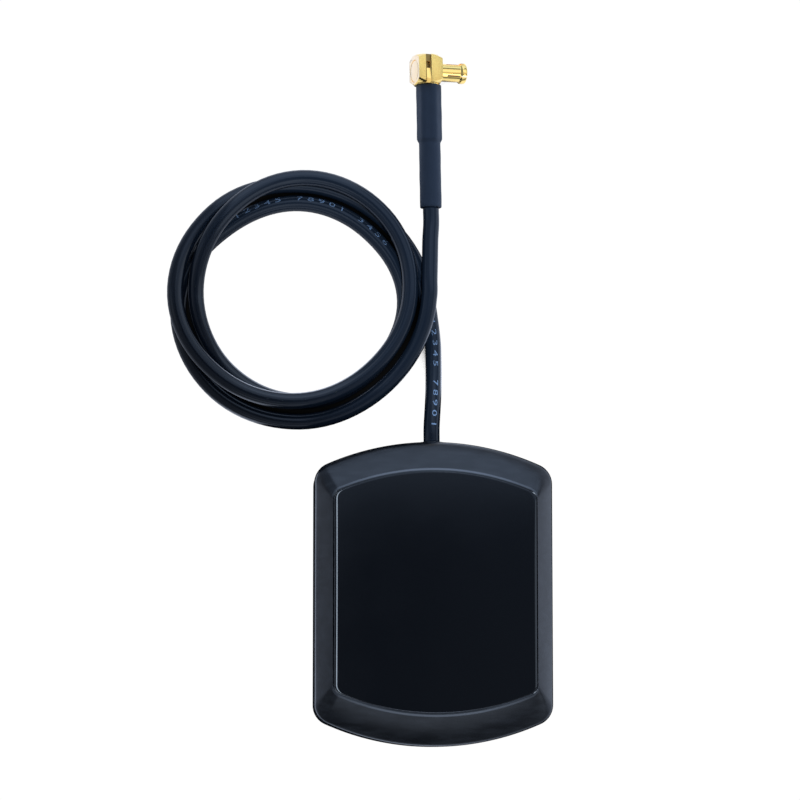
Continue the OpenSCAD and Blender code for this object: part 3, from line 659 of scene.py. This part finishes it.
def lamp(name, kind, place, aim, watts, tint, pieces):
    """A lamp aimed at a point, which lights only the pieces in the named collection."""
    data = bpy.data.lights.new(name, kind)
    data.energy, data.color = watts, tint
    obj = in_scene(name, data)
    place, aim = Vector(place) * MM, Vector(aim) * MM
    obj.matrix_world = Matrix.Translation(place) @ (aim - place).to_track_quat("-Z", "Y").to_matrix().to_4x4()
    obj.visible_camera = False
    lit = bpy.data.collections.get(pieces) or bpy.data.collections.new(pieces)
    obj.light_linking.receiver_collection = lit
    return obj


def studio_lamps():
    """Small lamps for the lead, the plug and the cover."""
    # A spot on the plug's side of the lead that lights without mirroring itself
    fill = lamp("fill", "SPOT", (-2, 22, 300), (13, 76, 0), 9.5, (1, 1.1, 1.15), "lit_lead")
    fill.data.spot_size, fill.data.spot_blend = math.radians(22), 0.3
    fill.data.shadow_soft_size = 15 * MM
    fill.visible_glossy = False
    # A small lamp over the coil that draws a line along its strands
    over_coil = lamp("over_coil", "AREA", (-18, 55, 22), (-38, 52, 4), 0.0006, (0.85, 1, 1.2), "lit_lead")
    over_coil.data.shape, over_coil.data.size = "DISK", 18 * MM
    # Two soft lamps for the plated plug alone
    for place, size, watts in (((150, 155, 260), 250, 0.125), ((121, -62, 160), 140, 0.15)):
        soft = lamp("over_plug", "AREA", place, (4, 92, 3), watts, (1, 0.96, 0.92), "lit_plug")
        soft.data.size = size * MM
    # A strip over the cover's left rim and a taller one on its right
    for place, aim, size, watts in (
        ((-76, 30, 480), (-76, 30, 0), (105, 280), 0.95),
        ((270, 0, 330), (100, 0, 330), (110, 600), 0.2),
    ):
        strip = lamp("cover_strip", "AREA", place, aim, watts, (0.8, 0.95, 1.15), "lit_cover")
        strip.data.shape = "RECTANGLE"
        strip.data.size, strip.data.size_y = size[0] * MM, size[1] * MM


class ANTENNA_OT_stage(bpy.types.Operator):
    """Sets up the camera, the pale floor and a ring of soft light with a dark middle"""

    bl_idname = "antenna.stage"
    bl_label = "Stage"

    def execute(self, context):
        stage = context.scene.antenna_stage
        photo_camera(context.scene, stage)
        paper_floor(stage, context.scene.antenna_housing)
        soft_room(context.scene, stage)
        studio_lamps()
        context.scene.view_settings.view_transform = "Standard"
        context.scene.view_settings.look = "None"
        return {"FINISHED"}


class ANTENNA_OT_lead(bpy.types.Operator):
    """Draws the jacket of the lead as one tube along its route"""

    bl_idname = "antenna.lead"
    bl_label = "Lead"

    def execute(self, context):
        lead, plug = context.scene.antenna_lead, context.scene.antenna_plug
        route, _ = lead_route(lead, plug)
        so_far, side, up = lead_frames(route)
        sides, r = 24, lead.diameter / MM / 2
        turns = [math.tau * k / sides for k in range(sides)]
        rings = [
            [p + r * (math.cos(a) * u + math.sin(a) * s) for a in turns] for p, s, u in zip(route, side, up)
        ]
        jacket = extruded_pvc(lead.jacket)
        tube = new_mesh("lead_jacket", *loft([[route[0]], *rings, [route[-1]]]), [jacket])
        bpy.data.collections["lit_lead"].objects.link(tube)
        flat = tube.data.uv_layers.new(name="jacket")
        for face in tube.data.polygons:
            around = [(v - 1) % sides for v in face.vertices]
            wraps = max(around) - min(around) > sides / 2
            for corner, v, k in zip(face.loop_indices, face.vertices, around):
                ring = min(max((v - 1) // sides, 0), len(route) - 1)
                k = k + sides if wraps and k < sides / 2 else k
                flat.data[corner].uv = (so_far[ring], math.tau * r * k / sides)
        finish_piece(tube, "cable_jacket", "cable_lead", "cable_coil", "plug_lead")
        for name in ("entry_jacket", "plug_jacket"):
            dress(name, jacket)
        return {"FINISHED"}


DIGIT_HIGH = 0.83
DIGIT_STRETCH = 2
DIGIT_ROWS = 8


def digit_mesh(text):
    """Points and faces of a plain digit, centred, with enough rows to bend around the lead."""
    curve = bpy.data.curves.new("digit", "FONT")
    curve.body = text
    shown = in_scene("digit", curve)
    mesh = bpy.data.meshes.new_from_object(shown.evaluated_get(bpy.context.evaluated_depsgraph_get()))
    cut = bmesh.new()
    cut.from_mesh(mesh)
    bpy.data.objects.remove(shown)
    bpy.data.curves.remove(curve)
    bpy.data.meshes.remove(mesh)
    spots = np.array([v.co for v in cut.verts])
    low, top = spots.min(0), spots.max(0)
    grow = DIGIT_HIGH / (top[1] - low[1])
    middle = (low + top) / 2
    for v in cut.verts:
        v.co = Vector(((v.co.x - middle[0]) * grow * DIGIT_STRETCH, (v.co.y - middle[1]) * grow, 0))
    for i in range(1, DIGIT_ROWS):
        every = [*cut.verts, *cut.edges, *cut.faces]
        at = (0, DIGIT_HIGH * (i / DIGIT_ROWS - 0.5), 0)
        bmesh.ops.bisect_plane(cut, geom=every, plane_co=at, plane_no=(0, 1, 0))
    cut.verts.index_update()
    points = [tuple(v.co) for v in cut.verts]
    faces = [tuple(v.index for v in f.verts) for f in cut.faces]
    cut.free()
    return points, faces


class ANTENNA_OT_marks(bpy.types.Operator):
    """Prints plain digits and ticks on the jacket, as length marks"""

    bl_idname = "antenna.marks"
    bl_label = "Printed marks"

    def execute(self, context):
        lead, plug = context.scene.antenna_lead, context.scene.antenna_plug
        route, coil_first = lead_route(lead, plug)
        so_far, side, up = lead_frames(route)
        # Pale blue ink, uneven where it took less well
        ink = grained("pale_blue_ink", lead.ink, 0.5, 0.08, 0.004, spread=0.25)
        # The print stands just off the jacket
        radius, pitch = lead.diameter / MM / 2 + 0.012, lead.digit_pitch / MM

        def on_jacket(s, turned):
            p, w, u = ([np.interp(s, so_far, field[:, c]) for c in range(3)] for field in (route, side, up))
            return [a + radius * (math.cos(turned) * b + math.sin(turned) * c) for a, b, c in zip(p, u, w)]

        def coil_length(degrees):
            return so_far[coil_first + round(degrees / 360 * POINTS_PER_TURN)]

        # The marks read back towards the housing, on the lead's right and on the inner strand's outer half
        points, faces = [], []
        for begin, count, lean in ((21.5, 11, 12), (coil_length(848), 16, 30)):
            for n in range(count):
                # Every sixth place is a space
                if n % 6 == 5:
                    continue
                shape, skin = digit_mesh(lead.digits[n % len(lead.digits)])
                first = len(points)
                for x, y, _ in shape:
                    points.append(on_jacket(begin - n * pitch - x, math.radians(lean) + y / radius))
                faces.extend(tuple(first + v for v in f) for f in skin)
        digits = new_mesh("length_digits", points, faces, [ink], smooth=False)
        finish_piece(digits, "cable_jacket")

        # Ticks between the two runs of digits, set along the route by geometry nodes
        kinds = {"Pitch": "Float", "Length": "Float", "Width": "Float", "Ink": "Material"}
        tree, given, names = node_group("ticks_along_path", kinds)
        stations = {"Curve": given["Geometry"], "Length": given["Pitch"]}
        spots = add(tree, "GeometryNodeCurveToPoints", stations, mode="LENGTH")
        sides = {"X": given["Width"], "Y": given["Length"], "Z": 0.004 * MM}
        size = add(tree, "ShaderNodeCombineXYZ", sides)["Vector"]
        tick = add(tree, "GeometryNodeMeshCube", {"Size": size})["Mesh"]
        axes = {"Primary Axis": (0, 0, 1), "Secondary Axis": spots["Tangent"]}
        kept_axes = {"primary_axis": "Z", "secondary_axis": "X"}
        facing = add(tree, "FunctionNodeAxesToRotation", axes, **kept_axes)["Rotation"]
        end_group(tree, spots["Points"], tick, facing, given["Ink"])

        line = bpy.data.curves.new("tick_line", "CURVE")
        line.dimensions = "3D"
        stretch = np.arange(coil_length(30), coil_length(95), 0.5)
        spline = line.splines.new("POLY")
        spline.points.add(len(stretch) - 1)
        for point, s in zip(spline.points, stretch):
            point.co = (*(c * MM for c in on_jacket(s, 0)), 1)
        sizes = {"Pitch": 2 * pitch * MM, "Length": 0.35 * MM, "Width": 0.12 * MM, "Ink": ink}
        ticks = in_scene("length_ticks", run_group(in_scene("tick_line", line), tree, names, sizes))
        bpy.data.curves.remove(line)
        finish_piece(ticks, "cable_jacket")
        return {"FINISHED"}


def bowed_outline(w, l, bow, corner):
    """Points of the housing's outline from above: straight sides, bowed ends, tangent corners."""
    bow_y, round_x = l / 2 - bow, w / 2 - corner
    round_y = bow_y + math.sqrt((bow - corner) ** 2 - round_x**2)
    meet = math.atan2(round_y - bow_y, round_x)
    quarter = [(w / 2, round_y * t) for t in np.linspace(0, 1, 12, endpoint=False)]
    for t in np.linspace(0, 1, 12, endpoint=False):
        quarter.append((round_x + corner * math.cos(meet * t), round_y + corner * math.sin(meet * t)))
    for t in np.linspace(0, 1, 25):
        a = meet + (math.pi / 2 - meet) * t
        quarter.append((bow * math.cos(a), bow_y + bow * math.sin(a)))
    half = quarter + [(-x, y) for x, y in quarter[-2::-1]]
    return np.array(half + [(-x, -y) for x, y in half[1:-1]])


def at_height(flat, z):
    """A flat outline lifted to a height."""
    return np.column_stack([flat, np.full(len(flat), z)])


def shrunk(ring, parts):
    """Smaller copies of a ring, on the way to its middle."""
    return [ring * (s, s, 1) for s in np.linspace(1, 0, parts, endpoint=False)[1:]]


class Moulding:
    """Sizes of the housing in millimetres, and its outlines at an inset and a height."""

    wall, reveal, roof = 1.8, 0.1, 1.6
    pad_inset, pad_top, base_low = 2.2, 0.8, 0.3
    least_corner = 0.3

    def __init__(self, h):
        self.wide, self.long, self.top, self.seam = (v / MM for v in (h.width, h.length, h.height, h.seam))
        self.bow, self.corner = h.bow / MM, h.corner / MM
        self.side_run, self.end_run = h.bevel_side / MM, h.bevel_end / MM
        self.panel_bow, self.panel_corner = h.panel_bow / MM, h.panel_corner / MM
        self.ledge = h.ledge / MM - 0.1
        self.ledge_z = self.top - h.panel_rise / MM
        self.rim = self.ledge_z - h.bevel_rise / MM
        # The rounding of the rim begins here
        self.wall_top = self.rim - 0.55

    def outer(self, inset, z):
        """The outline of the walls."""
        round_r = max(self.corner - inset, self.least_corner)
        flat = bowed_outline(self.wide - 2 * inset, self.long - 2 * inset, self.bow - inset, round_r)
        return at_height(flat, z)

    def panel(self, inset, z, more=0):
        """The outline at the top of the sloping band, taken in by some more at the sides."""
        side, end = self.side_run + inset + more, self.end_run + inset
        round_r = max(self.panel_corner - inset, self.least_corner)
        flat = bowed_outline(self.wide - 2 * side, self.long - 2 * end, self.panel_bow - inset, round_r)
        return at_height(flat, z)


def cover_rings(mould):
    """The cover, from the inside of its roof down the wall, up outside and over the panel."""
    outer, panel = mould.outer, mould.panel
    top, seam, rim, ledge, ledge_z = mould.top, mould.seam, mould.rim, mould.ledge, mould.ledge_z
    rim_ring, foot_ring = outer(0, rim), panel(0, ledge_z)
    fall = foot_ring - rim_ring
    flat_run = np.linalg.norm(fall[:, :2], axis=1)[:, None]
    # Straight slope with a slight crown, as a moulding has: more at the ends, next to none at the sides
    swell = np.column_stack([-fall[:, :2] / flat_run * fall[:, 2:], flat_run])
    swell /= np.linalg.norm(swell, axis=1)[:, None]
    at_end = np.clip((flat_run - mould.side_run) / (mould.end_run - mould.side_run), 0, 1)
    crown = 0.01 + 0.13 * at_end

    def slope(t):
        return rim_ring + fall * t + swell * (crown * 4 * t * (1 - t))

    inner_z = top - mould.roof
    inner_roof = panel(0.75 * mould.roof, inner_z)
    rings = [[(0, 0, inner_z)], *shrunk(inner_roof, 4)[::-1], inner_roof]
    rings += [outer(mould.wall, rim - 0.2), outer(mould.wall, seam)]
    rings += rounded(outer(0.2, seam), outer(0, seam), outer(0, seam + 0.2))
    rings += [outer(0, seam + 0.35), outer(0, rim - 0.7)]
    rings += rounded(outer(0, mould.wall_top), rim_ring, slope(0.13), 8)
    # The slope ends in a crisp lip
    inward = panel(0.1, ledge_z) - foot_ring
    lip = 0.999 - 0.015 * at_end
    rings += [slope(t) for t in np.linspace(0.16, 0.9, 12)] + [slope(lip - 0.012)]
    rings += rounded(slope(lip), foot_ring, foot_ring + inward * (0.03 + 0.17 * at_end), 4)
    # The ledge behind it is a groove at the sides, held sharp by rings close to its corners
    groove, groove_deep, hold = -0.05, 0.35, 0.015
    groove_z = ledge_z - groove_deep * (1 - at_end[:, 0])
    ledge_ring = foot_ring + inward * (0.06 + 0.34 * at_end)
    groove_ring = panel(ledge - hold, groove_z, groove)
    rings += [ledge_ring, ledge_ring * 0.85 + groove_ring * 0.15, ledge_ring * 0.15 + groove_ring * 0.85]
    rings += rounded(
        groove_ring, panel(ledge, groove_z, groove), panel(ledge, groove_z + hold, groove), 3
    )
    # The panel's rim is rounder at the sides
    edge, leaning, rounder = 0.12, 0.05, 0.38
    shoulder_z = top - 0.2 + 0.08 * at_end[:, 0]
    panel_edge = panel(ledge + edge, top, rounder)
    rings += rounded(panel(ledge, shoulder_z, groove), panel(ledge, top, leaning), panel_edge, 10)
    flat_top = panel(ledge + 2 * edge, top, rounder)
    return [*rings, flat_top, *shrunk(flat_top, 10), [(0, 0, top)]]


def base_rings(mould):
    """The base, from the pocket over the pad out, up the wall and down inside it."""
    outer, wall, reveal, seam = mould.outer, mould.wall, mould.reveal, mould.seam
    low, pad_top = mould.base_low, mould.pad_top
    pocket, pocket_edge = mould.pad_inset - 0.03, mould.pad_inset - 0.1
    floor_z = pad_top + 1.2
    ceiling, inner_floor = outer(pocket, pad_top), outer(wall, floor_z)
    rings = [[(0, 0, pad_top)], *shrunk(ceiling, 4)[::-1], ceiling]
    rings += [outer(pocket, low + 0.1), outer(pocket_edge, low)]
    rings += rounded(outer(reveal + 0.5, low), outer(reveal, low), outer(reveal, low + 0.5), 5)
    rings += [outer(reveal, low + 0.8), outer(reveal, seam - 0.4)]
    rings += rounded(outer(reveal, seam - 0.2), outer(reveal, seam), outer(reveal + 0.2, seam))
    return [*rings, outer(wall, seam), inner_floor, *shrunk(inner_floor, 4), [(0, 0, floor_z)]]


def pad_rings(mould):
    """The foot pad, with a shallow hollow below and a rounded edge."""
    outer, inset, top = mould.outer, mould.pad_inset, mould.pad_top
    hollow, hollow_z = inset + 1.9, 0.12
    rings = [[(0, 0, hollow_z)], *shrunk(outer(hollow + 0.5, hollow_z), 8)[::-1]]
    rings += rounded(outer(hollow + 0.3, hollow_z), outer(hollow, hollow_z), outer(hollow, hollow_z / 2), 3)
    rings += rounded(outer(hollow, 0.05), outer(hollow, 0), outer(hollow - 0.15, 0), 3)
    rings += rounded(outer(inset + 0.3, 0), outer(inset, 0), outer(inset, 0.3), 5)
    upper = outer(inset, top)
    return [*rings, upper, *shrunk(upper, 4), [(0, 0, top)]]


def grommet_rings(mould):
    """The grommet around the lead, with a rounded lip outside the wall."""
    lip, neck, bore = 2.4, 1.92, 1.43
    inner_y, lip_y = mould.long / 2 - mould.wall, mould.long / 2 - mould.reveal
    profile = [(bore, inner_y), (neck, inner_y), (neck, lip_y), (lip - 0.05, lip_y)]
    profile += rounded((lip, lip_y + 0.05), (lip, EXIT_Y), (lip - 0.3, EXIT_Y), 5)
    profile += rounded((bore + 0.15, EXIT_Y), (bore, EXIT_Y), (bore, EXIT_Y - 0.15), 3)
    return [[(x, y, z + EXIT_Z) for x, y, z in ring] for ring in lathe(profile)]


class ANTENNA_OT_housing(bpy.types.Operator):
    """Builds the moulded cover and base with rounded edges, the foot pad and the grommet"""

    bl_idname = "antenna.housing"
    bl_label = "Housing"

    def execute(self, context):
        housing = context.scene.antenna_housing
        mould = Moulding(housing)
        plastic = moulded_abs(housing.plastic, mould.ledge_z, mould.top)
        # The same plastic with a deep spark texture on the walls, which takes the gloss off them
        matt = grained("textured_black_abs", housing.texture, 0.6, 0.11, 0.02, specular=0.08)
        cover = new_mesh("cover_shell", *loft(cover_rings(mould)), [plastic, matt])
        for face in cover.data.polygons:
            face.material_index = int(face.center.z < mould.wall_top * MM)
        finish_piece(cover, "housing_plastic", "top_cover")
        bpy.data.collections["lit_cover"].objects.link(cover)
        base = new_mesh("base_shell", *loft(base_rings(mould)), [matt])
        finish_piece(base, "housing_plastic", "base_tray")
        # Moulded rubber with a fine matte grain
        rubber = grained("moulded_black_rubber", housing.rubber, 0.62, 0.18, 0.03)
        pad = new_mesh("foot_pad_rubber", *loft(pad_rings(mould)), [rubber])
        finish_piece(pad, "black_rubber", "foot_pad")
        grommet = new_mesh("grommet_rubber", *loft(grommet_rings(mould), closed=True), [rubber])
        finish_piece(grommet, "black_rubber", "cable_grommet")
        dress("seal_gasket", rubber)
        return {"FINISHED"}


def softened(name, node_name, width, materials, sort=None):
    """A copy of a CAD node with its sharp edges rounded by a small width."""
    work = bmesh.new()
    work.from_mesh(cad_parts[node_name].data)
    bmesh.ops.remove_doubles(work, verts=work.verts, dist=0.0005 * MM)
    bmesh.ops.dissolve_limit(work, angle_limit=math.radians(1), verts=work.verts, edges=work.edges)
    sharp = [e for e in work.edges if len(e.link_faces) == 2 and e.calc_face_angle(0) > math.radians(28)]
    bmesh.ops.bevel(
        work,
        geom=sharp,
        offset=width * MM,
        offset_type="OFFSET",
        segments=2,
        profile=0.5,
        affect="EDGES",
        clamp_overlap=True,
    )
    bmesh.ops.recalc_face_normals(work, faces=work.faces)
    for face in work.faces:
        face.smooth = True
        if sort:
            face.material_index = sort(face)
    mesh = bpy.data.meshes.new(name)
    work.to_mesh(mesh)
    work.free()
    for material in materials:
        mesh.materials.append(material)
    mesh.set_sharp_from_angle(angle=math.radians(35))
    return in_scene(name, mesh)


def plug_frame(plug):
    """Places the plug's own axes: X along the mating tube, minus Y along the lead, Z up."""
    place = Vector((PLUG_PLACE[0], PLUG_PLACE[1] + EXIT_Y, PLUG_HEIGHT))
    return Matrix.Translation(place) @ Matrix.Rotation(plug.turn, 4, "Z") @ Matrix.Rotation(plug.roll, 4, "Y")


MATING_Y = -0.25
TUBE_ROOT = 0.8
TUBE_TIP = 6.7
SLOT_LONG = 3.6


class ANTENNA_OT_plug(bpy.types.Operator):
    bl_idname = "antenna.plug"
    bl_label = "Plug"

    def execute(self, context):
        lead, plug = context.scene.antenna_lead, context.scene.antenna_plug
        place = plug_frame(plug)
        front = (place.to_3x3() @ Vector((0, 0, 1))).normalized()
        left = (place.to_3x3() @ Vector((-1, 0, 0))).normalized()
        # Gold plate over machined brass: bright where it was turned, dull where it was blasted
        bright = grained("turned_gold_plate", plug.gold, 0.1, 0.25, 0.004, 0.06, 1.0)
        dull = grained("blasted_gold_plate", plug.gold, 0.42, 0.2, 0.05, 0.1, 1.0, speckle=0.12)
        # Paler gold on the faces that look left and on the cap: a painted reflection of the pale floor
        pale = grained("faced_gold_plate", linear("#fbdaab"), 0.2, 0.25, 0.004, 0.04, 1.0)
        # In the groove it is painted darker: painted shade of the recess
        groove_shaded_gold = grained("worn_gold_plate", linear("#8d7748"), 0.4, 0.2, 0.03, 0.15, 1.0)
        plates = [bright, dull, pale, groove_shaded_gold]

        def sort(face):
            height = (face.calc_center_median() / MM - place.translation).dot(front)
            # Faces that look left take the painted reflection
            if face.normal.dot(left) > 0.9:
                return plates.index(pale)
            if abs(face.normal.dot(front)) < 0.95:
                return plates.index(bright)
            # The groove floor takes the painted shade
            return plates.index(dull if abs(height) > 2.3 else groove_shaded_gold)

        gold_pieces = [
            finish_piece(softened("plug_block", "plug_body", 0.07, plates, sort), "gold_plate", "plug_body"),
            finish_piece(softened("stem_key", "crimp_stem", 0.05, [bright]), "gold_plate", "crimp_stem"),
            finish_piece(softened("rear_cap", "plug_cap", 0.05, [pale]), "gold_plate", "plug_cap"),
            self.contact(plug, place, bright),
            # The window's web takes the painted shade too
            self.window_web(place, groove_shaded_gold),
        ]
        for piece in gold_pieces:
            bpy.data.collections["lit_plug"].objects.link(piece)
        pieces = [*gold_pieces, self.sleeve(plug, place)]
        # White PTFE, waxy and almost without grain
        resin = grained("white_ptfe", linear("#e9e8e2"), 0.45, 0.3, 0.01, spread=0.03)
        for name, material in (("crimp_ferrule", bright), ("centre_pin", bright), ("plug_insulator", resin)):
            dress(name, material)
            pieces.append(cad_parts[name])
        inner_lead = ("plug_jacket", "plug_braid", "plug_dielectric", "plug_core")
        pieces += [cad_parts[name] for name in inner_lead]
        pieces += [bpy.data.objects[name] for name in ("length_digits", "length_ticks")]
        route, _ = lead_route(lead, plug)
        so_far, _, _ = lead_frames(route)
        tuple(c * MM for c in route[0])
        [tuple(c * MM for c in p) for p in route]
        return {"FINISHED"}

    def contact(self, plug, place, gold):
        """One spring finger of the mating tube, repeated round its axis, on a plain root."""
        tube, ring = plug.tube / MM, plug.ring / MM
        bore = tube - 0.3
        slot_root = TUBE_TIP - SLOT_LONG
        land = TUBE_TIP - (ring - tube) - 0.6

        def spun(r, x, a):
            return (x, -r * math.sin(a), r * math.cos(a))

        swell = [(tube, slot_root - 0.05), (tube, land - 0.4)]
        for t in np.linspace(0, 1, 7):
            swell.append((tube + (ring - tube) * (0.5 - 0.5 * math.cos(math.pi * t)), land - 0.35 + 0.35 * t))
        swell += rounded((ring, TUBE_TIP - 0.25), (ring, TUBE_TIP), (tube - 0.02, TUBE_TIP), 7)
        swell += [(bore + 0.06, TUBE_TIP), (bore, TUBE_TIP - 0.08), (bore, slot_root - 0.05)]
        share = math.tau / plug.slots
        gap = plug.slot / MM / tube
        turns = np.linspace(-share / 2 + gap / 2, share / 2 - gap / 2, 17)
        points, faces = loft([[spun(r, x, a) for r, x in swell] for a in turns])
        n = len(swell)
        faces += [tuple(range(n)), tuple(range(len(points) - n, len(points)))]
        finger = new_mesh("finger", points, faces, [gold])

        kinds = {"Count": "Int", "First Turn": "Float", "Plate": "Material"}
        tree, given, names = node_group("fingers_round_axis", kinds)
        spots = add(tree, "GeometryNodePoints", {"Count": given["Count"]})["Geometry"]
        part = maths(tree, "DIVIDE", math.tau, given["Count"])
        index = add(tree, "GeometryNodeInputIndex")["Index"]
        turn = maths(tree, "MULTIPLY_ADD", index, part, given["First Turn"])
        way = add(tree, "ShaderNodeCombineXYZ", {"X": turn})["Vector"]
        end_group(tree, spots, given["Geometry"], way, given["Plate"])
        # A slot lies 30 degrees below the middle as the plug lies, so a finger is half a share further
        values = {"Count": plug.slots, "First Turn": math.radians(30) + share / 2, "Plate": gold}
        mesh = run_group(finger, tree, names, values)

        root = [(bore, TUBE_ROOT), (tube, TUBE_ROOT), (tube, slot_root), (bore, slot_root)]
        around = np.linspace(0, math.tau, 64, endpoint=False)
        points, faces = loft([[spun(r, x, a) for a in around] for r, x in root], closed=True)
        whole = bmesh.new()
        whole.from_mesh(mesh)
        corners = [whole.verts.new([c * MM for c in p]) for p in points]
        for f in faces:
            whole.faces.new([corners[i] for i in f])
        bmesh.ops.recalc_face_normals(whole, faces=whole.faces)
        whole.transform(Matrix.Translation((0, MATING_Y * MM, 0)))
        shift = place.copy()
        shift.translation *= MM
        whole.transform(shift)
        for face in whole.faces:
            face.smooth = True
        whole.to_mesh(mesh)
        whole.free()
        mesh.set_sharp_from_angle(angle=math.radians(40))
        return finish_piece(in_scene("spring_contact", mesh), "gold_plate", "outer_contact")

    def window_web(self, place, gold):
        """A dished web of plate that closes the window in the block's groove."""
        half_x, low_y, high_y, bottom, top, round_r = 0.39, -0.09, 1.19, 1.0, 1.4, 0.12
        middle_x, middle_y, half_y = -0.8, (low_y + high_y) / 2, (high_y - low_y) / 2

        def outline(inset, z):
            ring = []
            for quarter, (sx, sy) in enumerate(((1, 1), (-1, 1), (-1, -1), (1, -1))):
                for step in range(5):
                    a = (quarter + step / 4) * math.pi / 2
                    x = sx * (half_x - round_r) + (round_r - inset) * math.cos(a)
                    y = sy * (half_y - round_r) + (round_r - inset) * math.sin(a)
                    ring.append(place @ Vector((middle_x + x, middle_y + y, z)))
            return ring

        def pole(z):
            return [place @ Vector((middle_x, middle_y, z))]

        rings = [pole(bottom), outline(0, bottom), outline(0, top - 0.05), outline(0.05, top)]
        rings += [outline(0.1, top - 0.08), pole(top - 0.12)]
        return finish_piece(new_mesh("window_web", *loft(rings), [gold]), "gold_plate")

    def sleeve(self, plug, place):
        """Heat-shrink tube drawn down over a crimped hexagon and on over the lead."""
        top, shoulder, narrow, mouth = -2.7, -12.2, -13, MOUTH_Y
        wide_r, tail_r, bore_r, hex_r, hex_deep = 2.2, 1.88, 1.43, 1.77, 0.15
        sides = 72
        rings = []
        heights = [top, top - 0.03, top - 0.1, *np.linspace(top - 0.4, shoulder, 26)]
        heights += [*np.linspace(shoulder, narrow, 9)[1:], *np.linspace(narrow, mouth + 0.1, 26)[1:]]
        heights += [mouth + 0.03, mouth]
        for y in heights:
            t = min(max((shoulder - y) / (shoulder - narrow), 0), 1)
            t = t * t * (3 - 2 * t)
            lip = 0.06 * max(0, 1 - min(y - mouth, top - y) / 0.1) ** 2
            ring = []
            for k in range(sides):
                a = math.tau * k / sides
                facets = 0.5 - 0.5 * math.cos(6 * (a - math.radians(10)))
                # Slow ripples of a fraction of a tenth, as shrinking leaves
                ripple = 0.012 * math.sin(1.7 * y + 2 * a) + 0.01 * math.sin(0.9 * y - 3 * a)
                r = wide_r - hex_deep * facets * (1 - t) - (wide_r - tail_r) * t + ripple - lip
                ring.append((r * math.sin(a), y, r * math.cos(a)))
            rings.append(ring)
        inner = [(bore_r + 0.03, mouth), (bore_r, mouth + 0.06)]
        inner += [(bore_r, -11.5), (hex_r, -11.4), (hex_r, top)]
        rings += lathe(inner, sides)
        rings = [[place @ Vector(p) for p in ring] for ring in rings]
        # Polyolefin with a fine satin grain
        skin = grained("shrunk_polyolefin", plug.sleeve, 0.66, 0.12, 0.02, spread=0.08)
        obj = new_mesh("shrink_sleeve", *loft(rings, closed=True), [skin])
        return finish_piece(obj, "shrink_sleeve", "heat_shrink")


class ANTENNA_OT_inside(bpy.types.Operator):
    """Gives the pieces inside the housing and the ends of the lead their finishes"""

    bl_idname = "antenna.inside"
    bl_label = "Inside"

    def execute(self, context):
        # Name, colour, roughness, grain in millimetres, bump in millimetres, metallic, nodes
        finishes = [
            ("nickel_plate", "#b4b1aa", 0.22, 0.3, 0.004, 1.0, ["magnet"]),
            ("zinc_plate", "#b3b6ba", 0.34, 0.2, 0.01, 1.0, ["base_screws"]),
            ("green_solder_resist", "#14532f", 0.35, 0.4, 0.006, 0.0, ["lna_board"]),
            ("acrylic_tape", "#d3ceb6", 0.6, 0.4, 0.01, 0.0, ["patch_tape"]),
            ("fired_silver", "#d9dad8", 0.38, 0.15, 0.01, 1.0, ["ground_electrode", "patch_electrode"]),
            ("fired_ceramic", "#b38f63", 0.55, 0.2, 0.015, 0.0, ["patch_ceramic"]),
            ("bright_tin", "#c6c8c9", 0.28, 0.25, 0.008, 1.0, ["shield_can", "feed_pin"]),
            ("epoxy_resin", "#232427", 0.5, 0.12, 0.01, 0.0, ["lna_chip"]),
            ("cream_ceramic", "#cfc39a", 0.5, 0.2, 0.01, 0.0, ["saw_filter"]),
            ("tan_ceramic", "#9c7752", 0.5, 0.15, 0.01, 0.0, ["chip_capacitors"]),
            ("solder_alloy", "#b4b7ba", 0.25, 0.4, 0.01, 1.0, ["solder_joints"]),
            ("tinned_braid", "#b0aba0", 0.35, 0.2, 0.05, 1.0, ["entry_braid", "plug_braid"]),
            ("white_polyethylene", "#ecebe6", 0.42, 0.4, 0.01, 0.0, ["entry_dielectric", "plug_dielectric"]),
            ("bare_copper", "#c98556", 0.25, 0.2, 0.01, 1.0, ["entry_core", "plug_core"]),
        ]
        for name, tint, rough, grain, relief, metal, nodes in finishes:
            finish = grained(name, linear(tint), rough, grain, relief, metallic=metal)
            for node in nodes:
                dress(node, finish)
        return {"FINISHED"}


class ANTENNA_PT_panel(bpy.types.Panel):
    """Lists the antenna's sizes and the steps that build it"""

    bl_idname = "ANTENNA_PT_panel"
    bl_label = "Patch Antenna"
    bl_space_type = "VIEW_3D"
    bl_region_type = "UI"
    bl_category = "Antenna"

    def draw(self, context):
        for step in STEPS:
            self.layout.operator(step.bl_idname)
        for name in GROUPS:
            box = self.layout.box()
            settings = getattr(context.scene, name)
            for key in settings.__annotations__:
                box.prop(settings, key)


STEPS = (
    ANTENNA_OT_stage,
    ANTENNA_OT_lead,
    ANTENNA_OT_marks,
    ANTENNA_OT_plug,
    ANTENNA_OT_housing,
    ANTENNA_OT_inside,
)
GROUPS = {
    "antenna_housing": HousingSettings,
    "antenna_lead": LeadSettings,
    "antenna_plug": PlugSettings,
    "antenna_stage": StageSettings,
}


def register():
    for cls in (*GROUPS.values(), *STEPS, ANTENNA_PT_panel):
        bpy.utils.register_class(cls)
    for name, cls in GROUPS.items():
        setattr(bpy.types.Scene, name, PointerProperty(type=cls))


def unregister():
    for name in GROUPS:
        delattr(bpy.types.Scene, name)
    for cls in (ANTENNA_PT_panel, *STEPS[::-1], *list(GROUPS.values())[::-1]):
        bpy.utils.unregister_class(cls)


def main():
    register()
    bpy.ops.antenna.stage()
    bpy.ops.antenna.lead()
    bpy.ops.antenna.marks()
    bpy.ops.antenna.plug()
    bpy.ops.antenna.housing()
    bpy.ops.antenna.inside()


if __name__ == "__main__":
    main()
